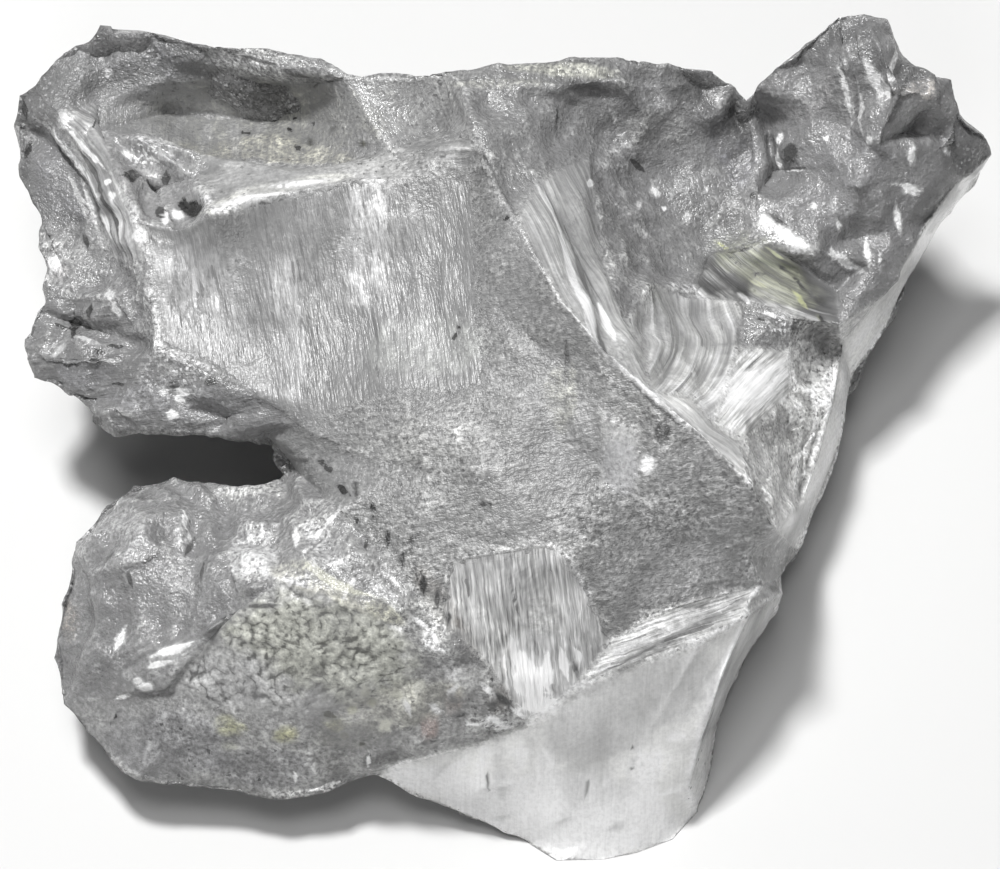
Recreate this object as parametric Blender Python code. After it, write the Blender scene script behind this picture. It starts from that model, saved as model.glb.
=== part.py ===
"""Topaz specimen: one broken crystal of clear topaz, 80 mm long, made as a single closed solid.

The crystal is described by its corners. Corners of the upper side are given as seen along one sighting line that
looks down on the stone at SIGHT_ELEVATION from the south: a distance across, a distance up the sighting plane and
a height over the table. Flat facets run between the corners. Each facet is then divided, swelled or hollowed and
given the lumps of its kind of fracture surface.
+X is east (the length), +Y north, +Z up; the origin is on the table under the middle of the crystal.
"""

import math

import bmesh
import bpy
import numpy as np
from mathutils import Vector

MM = 0.001

# Overall size the corners below add up to, millimetres: checked at the end.
CRYSTAL_LENGTH = 81.6
CRYSTAL_DEPTH = 65.6
CRYSTAL_HEIGHT = 28.6
SIZE_SLACK = 1.5

# The sighting point that the corners were taken from.
SIGHT_ELEVATION = 62.0
SIGHT_DISTANCE = 260.0
SIGHT_TARGET = Vector((0.0, 0.0, 14.0))

# Cuts made in every edge at each division.
CUTS_PER_EDGE = 1

# Least height of the surface just off the flat base.
FOOT_CLEARANCE = 0.05

# Lumps of the fracture surfaces: the length of a lump and of its smaller companion.
LUMP_LENGTH = 4.8
SMALL_LUMP_LENGTH = 2.9
SMALL_LUMP_SHARE = 0.55
LATTICE_SEED = 11

# How each kind of surface departs from a flat facet, millimetres:
# swell = rise (or hollow, when negative) at the middle of the facet, lump = height of its lumps.
RELIEF = {
    "band": (0.5, 0.8),
    "ledge": (0.3, 0.5),
    "bowl": (-0.5, 0.4),
    "lip": (0.35, 0.2),
    "rib": (0.5, 0.5),
    "pocket": (-0.8, 0.7),
    "side": (0.5, 0.7),
    "saddle": (-0.3, 0.3),
    "cream": (0.2, 0.3),
    "striae": (-0.25, 0.3),
    "crest": (0.2, 0.4),
    "arm": (-0.5, 0.8),
    "chunk": (0.5, 0.8),
    "plateau": (0.3, 0.4),
    "pane": (0.1, 0.05),
    "window": (0.2, 0.08),
    "light": (0.25, 0.12),
    "lump": (0.8, 0.4),
    "valley": (-0.55, 0.6),
    "blade": (0.45, 0.15),
    "terrace": (-0.6, 0.6),
    "conchoid": (-0.8, 0.4),
    "bright": (0.35, 0.4),
    "border": (0.5, 0.7),
    "margin": (0.3, 0.25),
    "chip": (-0.4, 0.6),
    "streak": (0.3, 0.2),
    "edge": (0.15, 0.08),
    "head": (0.4, 0.65),
    "white": (0.25, 0.15),
    "lobe": (0.75, 0.5),
    "oval": (1.3, 0.2),
    "steps": (0.2, 0.8),
    "cobble": (0.3, 0.75),
    "sole": (0.35, 0.25),
    "wedge": (0.08, 0.05),
    "keel": (0.08, 0.06),
    "flank": (0.6, 0.9),
    "under": (0.5, 0.9),
    "base": (0.0, 0.0),
}

# Corners met from the sighting point: (across, up the sighting plane, height over the table), millimetres.
SIGHTED = {
    # outline, clockwise from the root of the upper west arm
    "rim01": (-18.6, -0.1, 15.5), "rim02": (-22.6, 0.1, 15), "rim03": (-26.6, 0.4, 14.5),
    "rim04": (-30.6, 0.4, 13.5), "rim05": (-32.2, 1.5, 13.2), "rim06": (-33.8, 2.9, 13),
    "rim07": (-37.2, 4.6, 12.5), "rim08": (-38, 7.6, 13.5), "rim09": (-37.1, 9.8, 14.5),
    "rim10": (-36, 11.1, 15), "rim11": (-36.6, 16.8, 15), "rim12": (-38.2, 20.5, 15),
    "rim13": (-39.1, 24.8, 16), "rim14": (-38.4, 27.2, 17.5), "rim15": (-37.3, 27.7, 18.5),
    "rim16": (-35, 30.6, 20), "rim17": (-31.7, 32.8, 21.5), "rim18": (-28, 32.3, 22.5),
    "rim19": (-23.6, 31.1, 23.5), "rim20": (-19, 30.8, 24.5), "rim21": (-14.6, 29.8, 25),
    "rim22": (-12.4, 28.6, 25.5), "rim23": (-6.8, 28.5, 26), "rim24": (-4.4, 29.2, 26.5),
    "rim25": (0, 29.4, 26.5), "rim26": (4.8, 29.9, 26), "rim27": (9.4, 30.2, 25),
    "rim28": (12.8, 29.6, 24), "rim29": (17, 29.2, 22.5), "rim30": (18.6, 27.9, 21.5),
    "rim31": (19.8, 26.8, 20.5), "rim32": (22, 29.2, 22.5), "rim33": (24.4, 31.2, 24),
    "rim34": (27, 33.5, 25.5), "rim35": (29.1, 33.6, 25.5), "rim36": (30.7, 32.9, 25),
    "rim37": (32.2, 30.2, 24), "rim38": (34.4, 28.8, 23.5), "rim39": (36.1, 28.4, 23),
    "rim40": (36.9, 26, 21.5), "rim41": (38.8, 23.9, 18.5), "rim42": (39.3, 22.4, 16.5),
    "rim43": (38, 20.4, 13), "rim44": (35.2, 16.8, 10), "rim45": (32, 10.9, 8),
    "rim46": (30.4, 7.9, 7.5), "rim47": (28.2, 4.6, 7), "rim48": (27.7, 1.8, 6.5),
    "rim49": (26.8, -1.6, 6), "rim50": (25.2, -5.6, 5.5), "rim51": (23.5, -9.2, 5),
    "rim52": (22.5, -11.3, 6.5), "rim53": (22.7, -12.6, 5.5), "rim54": (21.4, -15, 4),
    "rim55": (19.2, -18.8, 2.5), "rim56": (17.3, -23.2, 1.2), "rim57": (16.8, -26.7, 0.6),
    "rim58": (15.8, -30.2, 0), "rim59": (13.8, -32.4, 0), "rim60": (10.9, -33.5, 0),
    "rim61": (8.3, -34, 0), "rim62": (4.5, -34.1, 0), "rim63": (2.4, -32.8, 0),
    "rim64": (0.4, -32, 0.8), "rim65": (-3.2, -30.4, 2), "rim66": (-6, -29.2, 3.2),
    "rim67": (-7.8, -28.3, 4.2), "rim68": (-9.8, -27.3, 5.2), "rim69": (-12.4, -27.6, 5.2),
    "rim70": (-14.4, -28.2, 5), "rim71": (-18, -29.1, 4.5), "rim72": (-22, -28.7, 4.5),
    "rim73": (-27.2, -27.9, 5), "rim74": (-30.2, -26.7, 5.5), "rim75": (-32.6, -24, 6),
    "rim76": (-35, -21.6, 6.5), "rim77": (-35.7, -18, 7), "rim78": (-35.4, -13.6, 7.8),
    "rim79": (-33.9, -8.6, 9), "rim80": (-31.8, -5.5, 10), "rim81": (-29.2, -4, 10.5),
    "rim82": (-26.1, -3.4, 11), "rim83": (-23.6, -4.2, 11), "rim84": (-20.8, -4.6, 11.5),
    "rim85": (-17.2, -3.9, 12.5), "rim86": (-16.4, -2.8, 13.5), "rim87": (-17.6, -1.2, 14.8),
    # upper west arm
    "arm01": (-35.4, 25.8, 20.2), "arm02": (-32, 27.1, 18.8), "arm03": (-27.2, 28.2, 19.6),
    "arm04": (-21.6, 28.4, 20.8), "arm05": (-14.2, 28.4, 23.2), "arm06": (-10.3, 24.8, 24.6),
    "arm07": (-8.6, 22.8, 24.8), "arm08": (-13.2, 21.5, 22.4), "arm09": (-19, 21.3, 21),
    "arm10": (-24, 22.6, 20.4), "arm11": (-28.8, 23.6, 20.2), "arm12": (-32.2, 24.2, 18.6),
    "bowl1": (-26.4, 25.8, 16.2), "bowl2": (-18, 25.2, 17.4), "lip1": (-7.2, 20.5, 25.8),
    "lip2": (-12.4, 20.3, 24.8), "lip3": (-16, 19.5, 24.2), "lip4": (-19.8, 19, 24),
    "lip5": (-22.8, 17.7, 23.8), "lip6": (-24.3, 20.5, 20.2), "rib1": (-30.4, 21.3, 21),
    "rib2": (-29.1, 17, 21.2), "rib3": (-28.3, 13.8, 20.6), "rib5": (-33.8, 21.6, 17.4),
    "rib6": (-32.3, 17.6, 16.4), "rib7": (-31, 13.6, 16.6), "pocket0": (-27.8, 19.4, 17.2),
    "pocket1": (-25.8, 16.2, 21.6), "flank1": (-36.8, 23.7, 16), "flank2": (-35, 13.3, 14.6),
    "flank3": (-34, 10.9, 15.2), "flank4": (-30.6, 10.8, 17.8), "striae1": (-22.8, 11.6, 19.4),
    "striae2": (-16, 10.8, 20.6), "striae3": (-8, 11.6, 22.8), "striae4": (-1.8, 10.8, 25.2),
    "skirt2": (-27.2, 7.2, 18.6), "skirt3": (-22.8, 5, 18.8), "skirt4": (-18.8, 2.9, 18.6),
    "skirt5": (-15.8, 0.5, 18.8), "chunk1": (-33.8, 8.8, 13.4), "chunk3": (-32.4, 5.8, 16),
    "chunk4": (-28.8, 7.2, 16.6), "chunk5": (-32.2, 2.9, 13.2), "chunk6": (-26.8, 2.9, 16.6),
    "chunk7": (-21.4, 1.6, 15.8), "chunk8": (-36.4, 6, 14.6),
    # sloping middle field and its ridges
    "saddle2": (-5.1, 24.5, 23.8), "saddle4": (-3, 28, 27.2), "saddle5": (-1.8, 23.6, 29),
    "saddle6": (0, 28.1, 27), "saddle7": (4.8, 27.9, 26.2), "saddle8": (9.4, 28.4, 25.2),
    "saddle9": (-1.8, 21.6, 27), "step1": (-8, 2.8, 22.4), "step2": (-0.8, 3.6, 24.6),
    "edge1": (-12.8, -6, 19.6), "edge2": (-8, -11, 18.8), "edge3": (-4.8, -15, 17.2),
    "edge4": (-1, -18.4, 14.8), "field1": (-8, -2.8, 21), "field2": (-1.6, -2.8, 23.4),
    "field3": (4.8, -2, 23.6), "field4": (-4, -10, 19.8), "field5": (4.8, -8.4, 22.4),
    "crest0": (1.6, 8.4, 26), "crest1": (4.8, 5.6, 26), "pane1": (8.2, 1.2, 26),
    "pane2": (11.3, 0.4, 25.6), "pane3": (10.4, -5.2, 22.6), "pane4": (8, -3.8, 22.8),
    "pane5": (15.2, -3.6, 24), "pane6": (19, -8.4, 19), "pane7": (12, -9.2, 19.6),
    "ridge1": (0.8, 17.6, 29.2), "ridge2": (4.8, 10.8, 29), "ridge3": (8, 7.2, 28.4),
    "ridge4": (12, 3.4, 27.4), "ridge5": (16, 0.2, 26.2), "ridge6": (19.6, -3.5, 24.2),
    "ridge7": (22, -7.5, 20), "window1": (2.4, -17.2, 15), "shelf0": (6.2, -20, 12.8),
    "shelf1": (9, -16.4, 14.8), "shelf2": (11.2, -14.8, 16.4), "shelf3": (16, -13.2, 17),
    "shelf4": (16, -16.6, 15), "shelf5": (19.8, -14.5, 14.6), "tip1": (2.2, -23.2, 10.5),
    "knob1": (21, -12, 14.5), "knob2": (19.8, -13.4, 15),
    # east hollow and the side below it
    "blade0": (2, 24.8, 26.6), "blade1": (3.8, 21.2, 26.4), "blade2": (6, 26.4, 24.2),
    "blade3": (6.2, 14.4, 26.4), "blade4": (8.2, 9.3, 25.8), "valley0": (11.2, 26, 22.8),
    "valley31": (14.6, 26, 20.8), "valley1": (7.4, 22.8, 23), "valley2": (11.2, 21.6, 19),
    "valley3": (16, 21, 17.4), "valley33": (17.6, 25.5, 20.2), "valley4": (20.5, 19, 17.2),
    "valley34": (20, 22.8, 17.4), "valley5": (12, 16, 18.8), "valley6": (16.4, 14.4, 16.4),
    "valley7": (21, 15.3, 17.2), "valley37": (24, 13.6, 15.8), "valley8": (8.2, 13.8, 23.4),
    "valley9": (10, 9.2, 25), "valley10": (12.4, 12, 20.6), "valley11": (15.4, 10.9, 18),
    "valley12": (19.6, 10.6, 15.8), "valley13": (23.6, 9.3, 16.2), "valley14": (27.2, 8.8, 15.2),
    "valley38": (27, 11.4, 14.2), "valley15": (11.6, 6.8, 24.4), "valley16": (15.4, 2.9, 23.4),
    "valley17": (19, 7.2, 16.6), "valley39": (15.2, 7.2, 19.4), "valley18": (17.2, 0.8, 23.6),
    "valley19": (23.2, 6.8, 14.8), "valley20": (23.2, 3.2, 13.6), "valley21": (19.4, -0.6, 21.8),
    "chip1": (26.6, 5.8, 10.6), "chip2": (26.4, 2.4, 11.2), "chip3": (24, -1.2, 11.4),
    "chip4": (21.6, -2.8, 17.4), "chip5": (24.4, -5.2, 9.8), "strip1": (36.4, 19.9, 16.8),
    "strip2": (34, 16.5, 15.6), "strip3": (32, 13.3, 14.4), "strip4": (30.7, 11.4, 13.6),
    "strip5": (27.4, 7.2, 11.8),
    # north-east head
    "head1": (27.6, 29.8, 25.4), "head2": (28.2, 24.5, 20.6), "head3": (24, 25.3, 19.6),
    "head4": (21.4, 25.2, 17.6), "head5": (29.4, 27.2, 23), "head6": (30.6, 30.4, 26.6),
    "head7": (31.8, 27.4, 25.6), "head8": (34.8, 27.2, 24.2), "head9": (33.2, 24.4, 20.2),
    "head10": (36.4, 23.6, 20.8), "head11": (30.2, 23.4, 22.6), "head12": (21.8, 21, 15.2),
    "head13": (25, 21.2, 18.2), "head14": (28.6, 19.7, 20.8), "head15": (32.2, 21, 19.4),
    "head16": (32, 16.8, 17), "head17": (28.6, 15.7, 16), "head18": (25.2, 14.9, 17.6),
    "head19": (22.6, 17, 17.4), "head20": (28, 12.8, 14.6), "head21": (30.7, 14.1, 16.8),
    # south-west lobe
    "lobe1": (-31.2, -6.8, 11.8), "lobe2": (-27.2, -5.6, 13.8), "lobe3": (-26.8, -9.6, 14.6),
    "lobe4": (-30.4, -10.4, 14.2), "lobe5": (-33.2, -11.2, 11), "lobe6": (-24.6, -5.5, 12.8),
    "lobe7": (-24.4, -10, 14.4), "lobe18": (-22, -6, 12.8), "lobe8": (-21.8, -8.8, 15),
    "lobe9": (-17.8, -8.8, 16), "lobe10": (-17, -5.6, 15.6), "lobe11": (-15, -6.8, 17.8),
    "lobe12": (-17.2, -11.6, 18.2), "lobe14": (-21.4, -11.6, 17), "lobe15": (-24, -15.5, 14.4),
    "lobe16": (-12.4, -12.8, 19), "cobble3": (-7.4, -15.8, 16.8), "cobble4": (-6, -18.4, 14.6),
    "cobble5": (-9.2, -21.2, 12), "cobble6": (-16, -22.4, 11), "cobble7": (-21.2, -22.2, 10.4),
    "cobble8": (-26.8, -20.4, 10), "cobble9": (-23.6, -16.8, 13.8), "cobble10": (-20.8, -13.9, 16.8),
    "cobble1": (-15.2, -17.4, 15.6), "cheek1": (-29.2, -16.4, 12), "cheek2": (-31.2, -20.8, 9.2),
    "cheek3": (-33, -16.4, 9.4), "cheek4": (-26.8, -24.4, 8), "cheek5": (-20, -25.2, 8),
    "cheek6": (-12.8, -24.8, 8.6), "cheek7": (-8.4, -24.8, 9), "seam1": (-7.8, -26.2, 7.8),
    "seam2": (-4.8, -25.5, 8.6), "seam3": (-1.4, -24.6, 9.4), "corner1": (-4.4, -21.6, 12),
    "corner2": (-0.8, -21.6, 13),
    # clear south-east wedge
    "keel1": (17.8, -19, 12), "keel2": (16.2, -24, 8), "keel3": (15, -28.4, 4),
    "wedge1": (-1.6, -28.4, 5.5), "wedge2": (4.8, -27.2, 6.2), "wedge3": (11.2, -24.8, 7.9),
    "wedge4": (11.2, -29.2, 3.9), "wedge5": (4.8, -30.8, 2.9),
}

# Corners of the hidden underside, in plan: (x, y, height), millimetres.
UNDERSIDE = {
    "belly1": (-14, 4, 5.5), "belly2": (-26, 9.5, 8.5), "belly3": (-33.5, 13, 9.5),
    "belly4": (-36.5, 21, 9), "belly5": (-35, 28, 11.5), "belly6": (-27, 27.5, 9),
    "belly7": (-16, 24, 10), "belly8": (-4, 22.5, 13), "belly9": (8, 24.5, 12), "belly10": (18, 24, 9),
    "belly11": (28, 26.5, 12), "belly12": (35, 22.5, 9), "belly13": (28.5, 10, 3),
    "belly14": (22.5, -2, 2), "belly15": (-12, -22, 3), "belly16": (-24, -22, 2.6),
    "belly17": (-31, -16, 3.2), "belly18": (-30, -8, 5), "belly19": (-22, -6, 5),
    "belly20": (-15.5, -5, 7), "hollow1": (-22, 18, 4.5), "hollow2": (24, 17, 4),
    "hollow3": (-22, -14, 1.6), "base1": (-5.5, -22, 0), "base2": (-13, -8, 0), "base3": (-8, 9, 0),
    "base4": (-2, 15.5, 0), "base5": (12, 17.5, 0), "base6": (20.5, 9, 0), "base7": (19, -5, 0),
    "base8": (15, -17, 0),
}

# Facets as closed loops of corner names, grouped by the kind of surface they carry.
FACETS = {
    "band": [
        "arm01 arm02 rim17 rim16 rim15", "arm02 arm03 rim18 rim17", "arm03 arm04 rim19 rim18",
    ],
    "ledge": [
        "arm04 arm05 rim22 rim21 rim20 rim19",
    ],
    "bowl": [
        "arm12 bowl1 arm03 arm02", "arm11 bowl1 arm12", "bowl1 bowl2 arm04 arm03", "bowl2 arm05 arm04",
        "bowl2 arm06 rim22 arm05", "arm11 arm10 arm09 bowl2 bowl1", "arm09 arm08 arm07 arm06 bowl2",
    ],
    "lip": [
        "lip6 lip5 lip4 lip3 lip2 lip1 arm07 arm08 arm09 arm10",
    ],
    "rib": [
        "rib5 rib1 arm12 arm02 arm01", "rib6 rib2 rib1 rib5", "rib7 rib3 rib2 rib6",
    ],
    "pocket": [
        "rib1 pocket0 lip6 arm11 arm12", "lip6 arm10 arm11", "rib2 pocket1 pocket0 rib1",
        "pocket1 lip5 lip6 pocket0",
    ],
    "side": [
        "flank1 arm01 rim15 rim14 rim13", "rim11 rib6 rib5 flank1 rim13 rim12", "rib5 arm01 flank1",
    ],
    "saddle": [
        "arm06 arm07 saddle2 rim23 rim22", "saddle2 saddle4 rim24 rim23", "saddle2 saddle5 saddle4",
    ],
    "cream": [
        "saddle4 saddle6 rim25 rim24", "saddle6 saddle7 rim26 rim25", "saddle7 saddle8 rim27 rim26",
    ],
    "striae": [
        "rib2 rib3 striae1 lip5 pocket1", "skirt2 skirt3 striae1 rib3",
        "striae1 striae2 lip3 lip4 lip5", "skirt3 skirt4 skirt5 striae2 striae1",
        "striae2 striae3 lip1 lip2 lip3", "skirt5 step1 striae3 striae2",
        "striae3 striae4 saddle9 lip1", "step1 step2 striae4 striae3",
    ],
    "crest": [
        "lip1 saddle9 saddle5 saddle2 arm07",
    ],
    "arm": [
        "flank2 rib7 rib6 rim11", "flank3 flank2 rim11 rim10", "flank3 flank4 rib7 flank2",
        "chunk4 skirt2 rib3 rib7 flank4",
    ],
    "chunk": [
        "chunk1 flank3 rim10 rim09", "chunk8 chunk1 rim09 rim08", "chunk8 rim08 rim07",
        "chunk1 chunk4 flank4 flank3", "chunk8 chunk3 chunk4 chunk1",
        "rim07 rim06 chunk5 chunk3 chunk8", "chunk5 chunk6 skirt2 chunk4 chunk3", "chunk5 rim06 rim05",
        "rim03 chunk6 chunk5 rim05 rim04", "chunk6 chunk7 skirt4 skirt3 skirt2",
        "rim02 chunk7 chunk6 rim03", "rim02 rim01 skirt5 skirt4 chunk7",
    ],
    "plateau": [
        "rim87 rim86 edge1 field1 skirt5 rim01", "field1 field2 step2 step1 skirt5",
        "field2 field3 crest1 step2", "striae4 crest0 ridge2 ridge1 saddle5 saddle9",
        "step2 crest1 crest0 striae4", "crest1 ridge3 ridge2 crest0",
        "pane1 pane2 ridge4 ridge3 crest1", "field3 pane4 pane1 crest1",
        "pane2 pane3 pane5 ridge5 ridge4", "pane5 pane6 ridge6 ridge5", "pane6 ridge7 ridge6",
        "pane6 knob1 rim52 rim51 ridge7", "field5 pane7 pane3 pane4 field3", "pane7 pane6 pane5 pane3",
        "shelf1 shelf2 pane7 field5", "shelf2 shelf3 knob1 pane6 pane7",
        "edge1 edge2 field4 field2 field1", "field4 field5 field3 field2", "edge3 field4 edge2",
    ],
    "pane": [
        "pane4 pane3 pane2 pane1",
    ],
    "window": [
        "edge3 edge4 window1 field5 field4", "window1 shelf0 shelf1 field5",
        "edge4 tip1 shelf0 window1",
    ],
    "light": [
        "shelf0 shelf4 shelf2 shelf1", "shelf4 shelf5 knob2 knob1 shelf3 shelf2",
    ],
    "lump": [
        "knob2 shelf5 rim53 rim52 knob1",
    ],
    "valley": [
        "saddle5 blade0 saddle6 saddle4", "blade0 blade2 saddle7 saddle6",
        "blade2 valley0 saddle8 saddle7", "blade1 valley1 blade2 blade0",
        "valley1 valley2 valley0 blade2", "valley0 valley31 rim28 rim27 saddle8",
        "valley31 valley33 rim30 rim29 rim28", "valley33 valley34 rim31 rim30",
        "valley2 valley3 valley31 valley0", "valley3 valley34 valley33 valley31",
        "ridge1 blade1 blade0 saddle5", "valley8 valley5 valley2 valley1",
        "valley5 valley6 valley3 valley2", "valley6 valley7 valley4 valley34 valley3",
        "valley9 valley10 valley5 valley8", "valley10 valley11 valley6 valley5",
    ],
    "blade": [
        "ridge2 blade3 blade1 ridge1", "ridge3 blade4 blade3 ridge2", "blade3 valley8 valley1 blade1",
        "blade4 valley9 valley8 blade3", "ridge3 ridge4 valley15 valley9 blade4",
    ],
    "terrace": [
        "valley11 valley12 valley7 valley6", "valley12 valley13 valley37 valley7",
        "valley13 valley14 valley38 valley37",
    ],
    "conchoid": [
        "valley15 valley39 valley10 valley9", "valley39 valley17 valley12 valley11 valley10",
        "ridge4 valley16 valley39 valley15", "valley16 valley18 valley17 valley39",
    ],
    "bright": [
        "valley18 valley21 valley20 valley19 valley17",
    ],
    "border": [
        "valley17 valley19 valley13 valley12",
    ],
    "margin": [
        "ridge5 valley18 valley16 ridge4", "ridge6 valley21 valley18 ridge5",
    ],
    "chip": [
        "valley19 chip1 strip5 valley14 valley13", "valley20 chip2 chip1 valley19",
        "valley21 chip4 chip3 chip2 valley20", "ridge6 ridge7 chip4 valley21",
        "ridge7 chip5 chip3 chip4", "chip5 chip2 chip3", "chip2 strip5 chip1",
    ],
    "streak": [
        "strip5 strip4 valley14",
    ],
    "edge": [
        "rim43 rim42 strip1", "strip2 rim44 rim43 strip1", "strip3 strip4 rim45 rim44 strip2",
        "strip5 rim47 rim46 rim45 strip4", "chip2 rim48 rim47 strip5", "chip5 rim50 rim49 rim48 chip2",
        "ridge7 rim51 rim50 chip5",
    ],
    "head": [
        "head4 head3 rim33 rim32 rim31", "head3 head2 head1 rim34 rim33",
        "head1 head5 head6 rim35 rim34", "head6 head7 rim37 rim36 rim35", "head5 head7 head6",
        "head2 head5 head1", "head7 head8 rim39 rim38 rim37", "head11 head9 head8 head7",
        "head8 head9 head10 rim40 rim39", "head10 strip1 rim42 rim41 rim40", "head2 head11 head7 head5",
        "valley34 valley4 head12 head4 rim31", "head12 head13 head3 head4", "head13 head14 head2 head3",
        "head14 head15 head11 head2", "head15 head10 head9 head11",
        "head16 strip2 strip1 head10 head15", "head17 head16 head15 head14",
        "head18 head17 head14 head13", "head19 head18 head13 head12 valley4",
        "valley37 valley38 head20 head18", "head20 head21 head17 head18", "head21 strip3 head16 head17",
        "strip3 strip2 head16", "strip4 strip3 head21", "valley38 valley14 strip4 head21 head20",
    ],
    "white": [
        "valley7 head18 head19 valley4", "valley37 head18 valley7",
    ],
    "lobe": [
        "lobe1 lobe2 rim81 rim80", "lobe4 lobe3 lobe2 lobe1", "lobe5 lobe4 lobe1 rim80 rim79",
        "lobe2 lobe6 rim82 rim81", "lobe3 lobe7 lobe6 lobe2", "lobe6 lobe18 rim83 rim82",
        "lobe7 lobe8 lobe18 lobe6", "lobe18 lobe10 rim85 rim84 rim83", "lobe8 lobe9 lobe10 lobe18",
        "lobe10 lobe11 edge1 rim86 rim85", "lobe9 lobe12 lobe16 lobe11 lobe10",
        "lobe16 edge2 edge1 lobe11", "cobble3 edge3 edge2 lobe16", "cobble4 edge4 edge3 cobble3",
        "cheek1 lobe15 lobe7 lobe3 lobe4", "lobe15 cobble10 lobe14 lobe8 lobe7",
        "cobble10 lobe12 lobe14", "cobble9 cobble10 lobe15", "cheek3 cheek1 lobe4 lobe5",
        "rim77 cheek3 lobe5 rim79 rim78", "rim77 rim76 cheek2 cheek1 cheek3",
    ],
    "oval": [
        "lobe14 lobe12 lobe9 lobe8",
    ],
    "steps": [
        "cheek2 cobble8 cobble9 lobe15 cheek1",
    ],
    "cobble": [
        "cobble10 cobble1 lobe16 lobe12", "cobble1 cobble4 cobble3 lobe16",
        "cobble1 cobble6 cobble5 cobble4", "cobble9 cobble7 cobble6 cobble1",
        "cobble9 cobble1 cobble10", "cobble8 cobble7 cobble9",
    ],
    "sole": [
        "rim75 rim74 cheek4 cobble8 cheek2 rim76", "rim74 rim73 cheek4",
        "cheek4 cheek5 cobble7 cobble8", "rim73 rim72 cheek5 cheek4", "rim72 rim71 cheek5",
        "cheek5 cheek6 cobble6 cobble7", "rim71 rim70 rim69 cheek6 cheek5",
        "cheek6 cheek7 cobble5 cobble6", "rim69 rim68 seam1 cheek7 cheek6",
        "cheek7 corner1 cobble4 cobble5", "corner1 corner2 edge4 cobble4", "corner2 tip1 edge4",
        "seam2 seam3 tip1 corner2 corner1", "seam1 seam2 corner1 cheek7",
    ],
    "wedge": [
        "rim68 rim67 rim66 rim65 wedge1 seam3 seam2 seam1", "wedge1 wedge2 tip1 seam3",
        "wedge2 wedge3 shelf0 tip1", "wedge3 shelf4 shelf0", "wedge3 keel2 keel1 shelf5 shelf4",
        "wedge4 keel3 keel2 wedge3", "wedge5 wedge4 wedge3 wedge2",
        "rim65 rim64 rim63 wedge5 wedge2 wedge1", "rim63 rim62 rim61 rim60 wedge4 wedge5",
        "rim60 rim59 rim58 keel3 wedge4",
    ],
    "keel": [
        "keel1 rim55 rim54 rim53 shelf5", "keel2 rim56 rim55 keel1", "keel3 rim58 rim57 rim56 keel2",
    ],
    "flank": [
        "rim01 rim02 rim03 belly2 belly1", "rim03 rim04 rim05 rim06 belly3 belly2",
        "rim06 rim07 rim08 rim09 belly3", "rim09 rim10 rim11 belly4 belly3",
        "rim11 rim12 rim13 belly5 belly4", "rim13 rim14 rim15 rim16 belly5",
        "rim16 rim17 rim18 belly6 belly5", "rim18 rim19 rim20 belly7 belly6",
        "rim20 rim21 rim22 rim23 belly8 belly7", "rim23 rim24 rim25 belly8",
        "rim25 rim26 rim27 belly9 belly8", "rim27 rim28 rim29 belly10 belly9",
        "rim29 rim30 rim31 belly10", "rim31 rim32 rim33 rim34 belly11 belly10",
        "rim34 rim35 rim36 rim37 belly11", "rim37 rim38 rim39 belly12 belly11",
        "rim39 rim40 rim41 rim42 belly12", "rim42 rim43 rim44 belly12",
        "rim44 rim45 rim46 belly13 belly12", "rim46 rim47 rim48 belly13",
        "rim48 rim49 rim50 belly14 belly13", "rim50 rim51 rim52 belly14",
        "rim52 rim53 rim54 base8 base7 belly14", "rim54 rim55 rim56 base8", "rim56 rim57 rim58 base8",
        "rim63 rim64 rim65 rim66 base1", "rim66 rim67 rim68 belly15 base1", "rim68 rim69 rim70 belly15",
        "rim70 rim71 rim72 belly16 belly15", "rim72 rim73 rim74 belly16",
        "rim74 rim75 rim76 belly17 belly16", "rim76 rim77 rim78 belly17",
        "rim78 rim79 rim80 belly18 belly17", "rim80 rim81 rim82 belly19 belly18",
        "rim82 rim83 rim84 belly19", "rim84 rim85 rim86 belly20 belly19",
        "rim86 rim87 rim01 belly1 belly20",
    ],
    "under": [
        "belly1 belly2 hollow1 base3", "belly2 belly3 hollow1", "belly3 belly4 hollow1",
        "belly4 belly5 hollow1", "belly5 belly6 hollow1", "belly6 belly7 hollow1",
        "belly7 belly8 base4 base3 hollow1", "belly8 belly9 base5 base4", "belly9 belly10 base5",
        "belly10 belly11 hollow2", "belly10 hollow2 base6 base5", "belly11 belly12 hollow2",
        "belly12 belly13 base6 hollow2", "belly13 belly14 base7 base6", "belly15 belly16 hollow3",
        "belly16 belly17 hollow3", "belly17 belly18 hollow3", "belly18 belly19 hollow3",
        "belly19 belly20 base2 hollow3", "belly15 hollow3 base2 base1", "belly20 belly1 base3 base2",
    ],
    "base": [
        "base1 base2 base3 base4 base5 base6 base7 base8 rim58 rim59 rim60 rim61 rim62 rim63",
    ],
}

TOPAZ_COLOUR = (0.66, 0.67, 0.66, 1.0)
TOPAZ_ROUGHNESS = 0.25
TOPAZ_IOR = 1.62


def clear_scene():
    for obj in list(bpy.data.objects):
        bpy.data.objects.remove(obj, do_unlink=True)


def sighted_point(across, up, height):
    """The point at the given height on the sighting line through (across, up) of the sighting plane."""
    tilt = math.radians(SIGHT_ELEVATION)
    ahead = Vector((0.0, math.cos(tilt), -math.sin(tilt)))
    upward = Vector((0.0, math.sin(tilt), math.cos(tilt)))
    eye = SIGHT_TARGET - ahead * SIGHT_DISTANCE
    ray = ahead * SIGHT_DISTANCE + Vector((1.0, 0.0, 0.0)) * across + upward * up
    return eye + ray * ((height - eye.z) / ray.z)


def corner_points():
    """Every named corner as a point in millimetres."""
    points = {name: sighted_point(*place) for name, place in SIGHTED.items()}
    for name, place in UNDERSIDE.items():
        points[name] = Vector(place)
    return points


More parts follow.
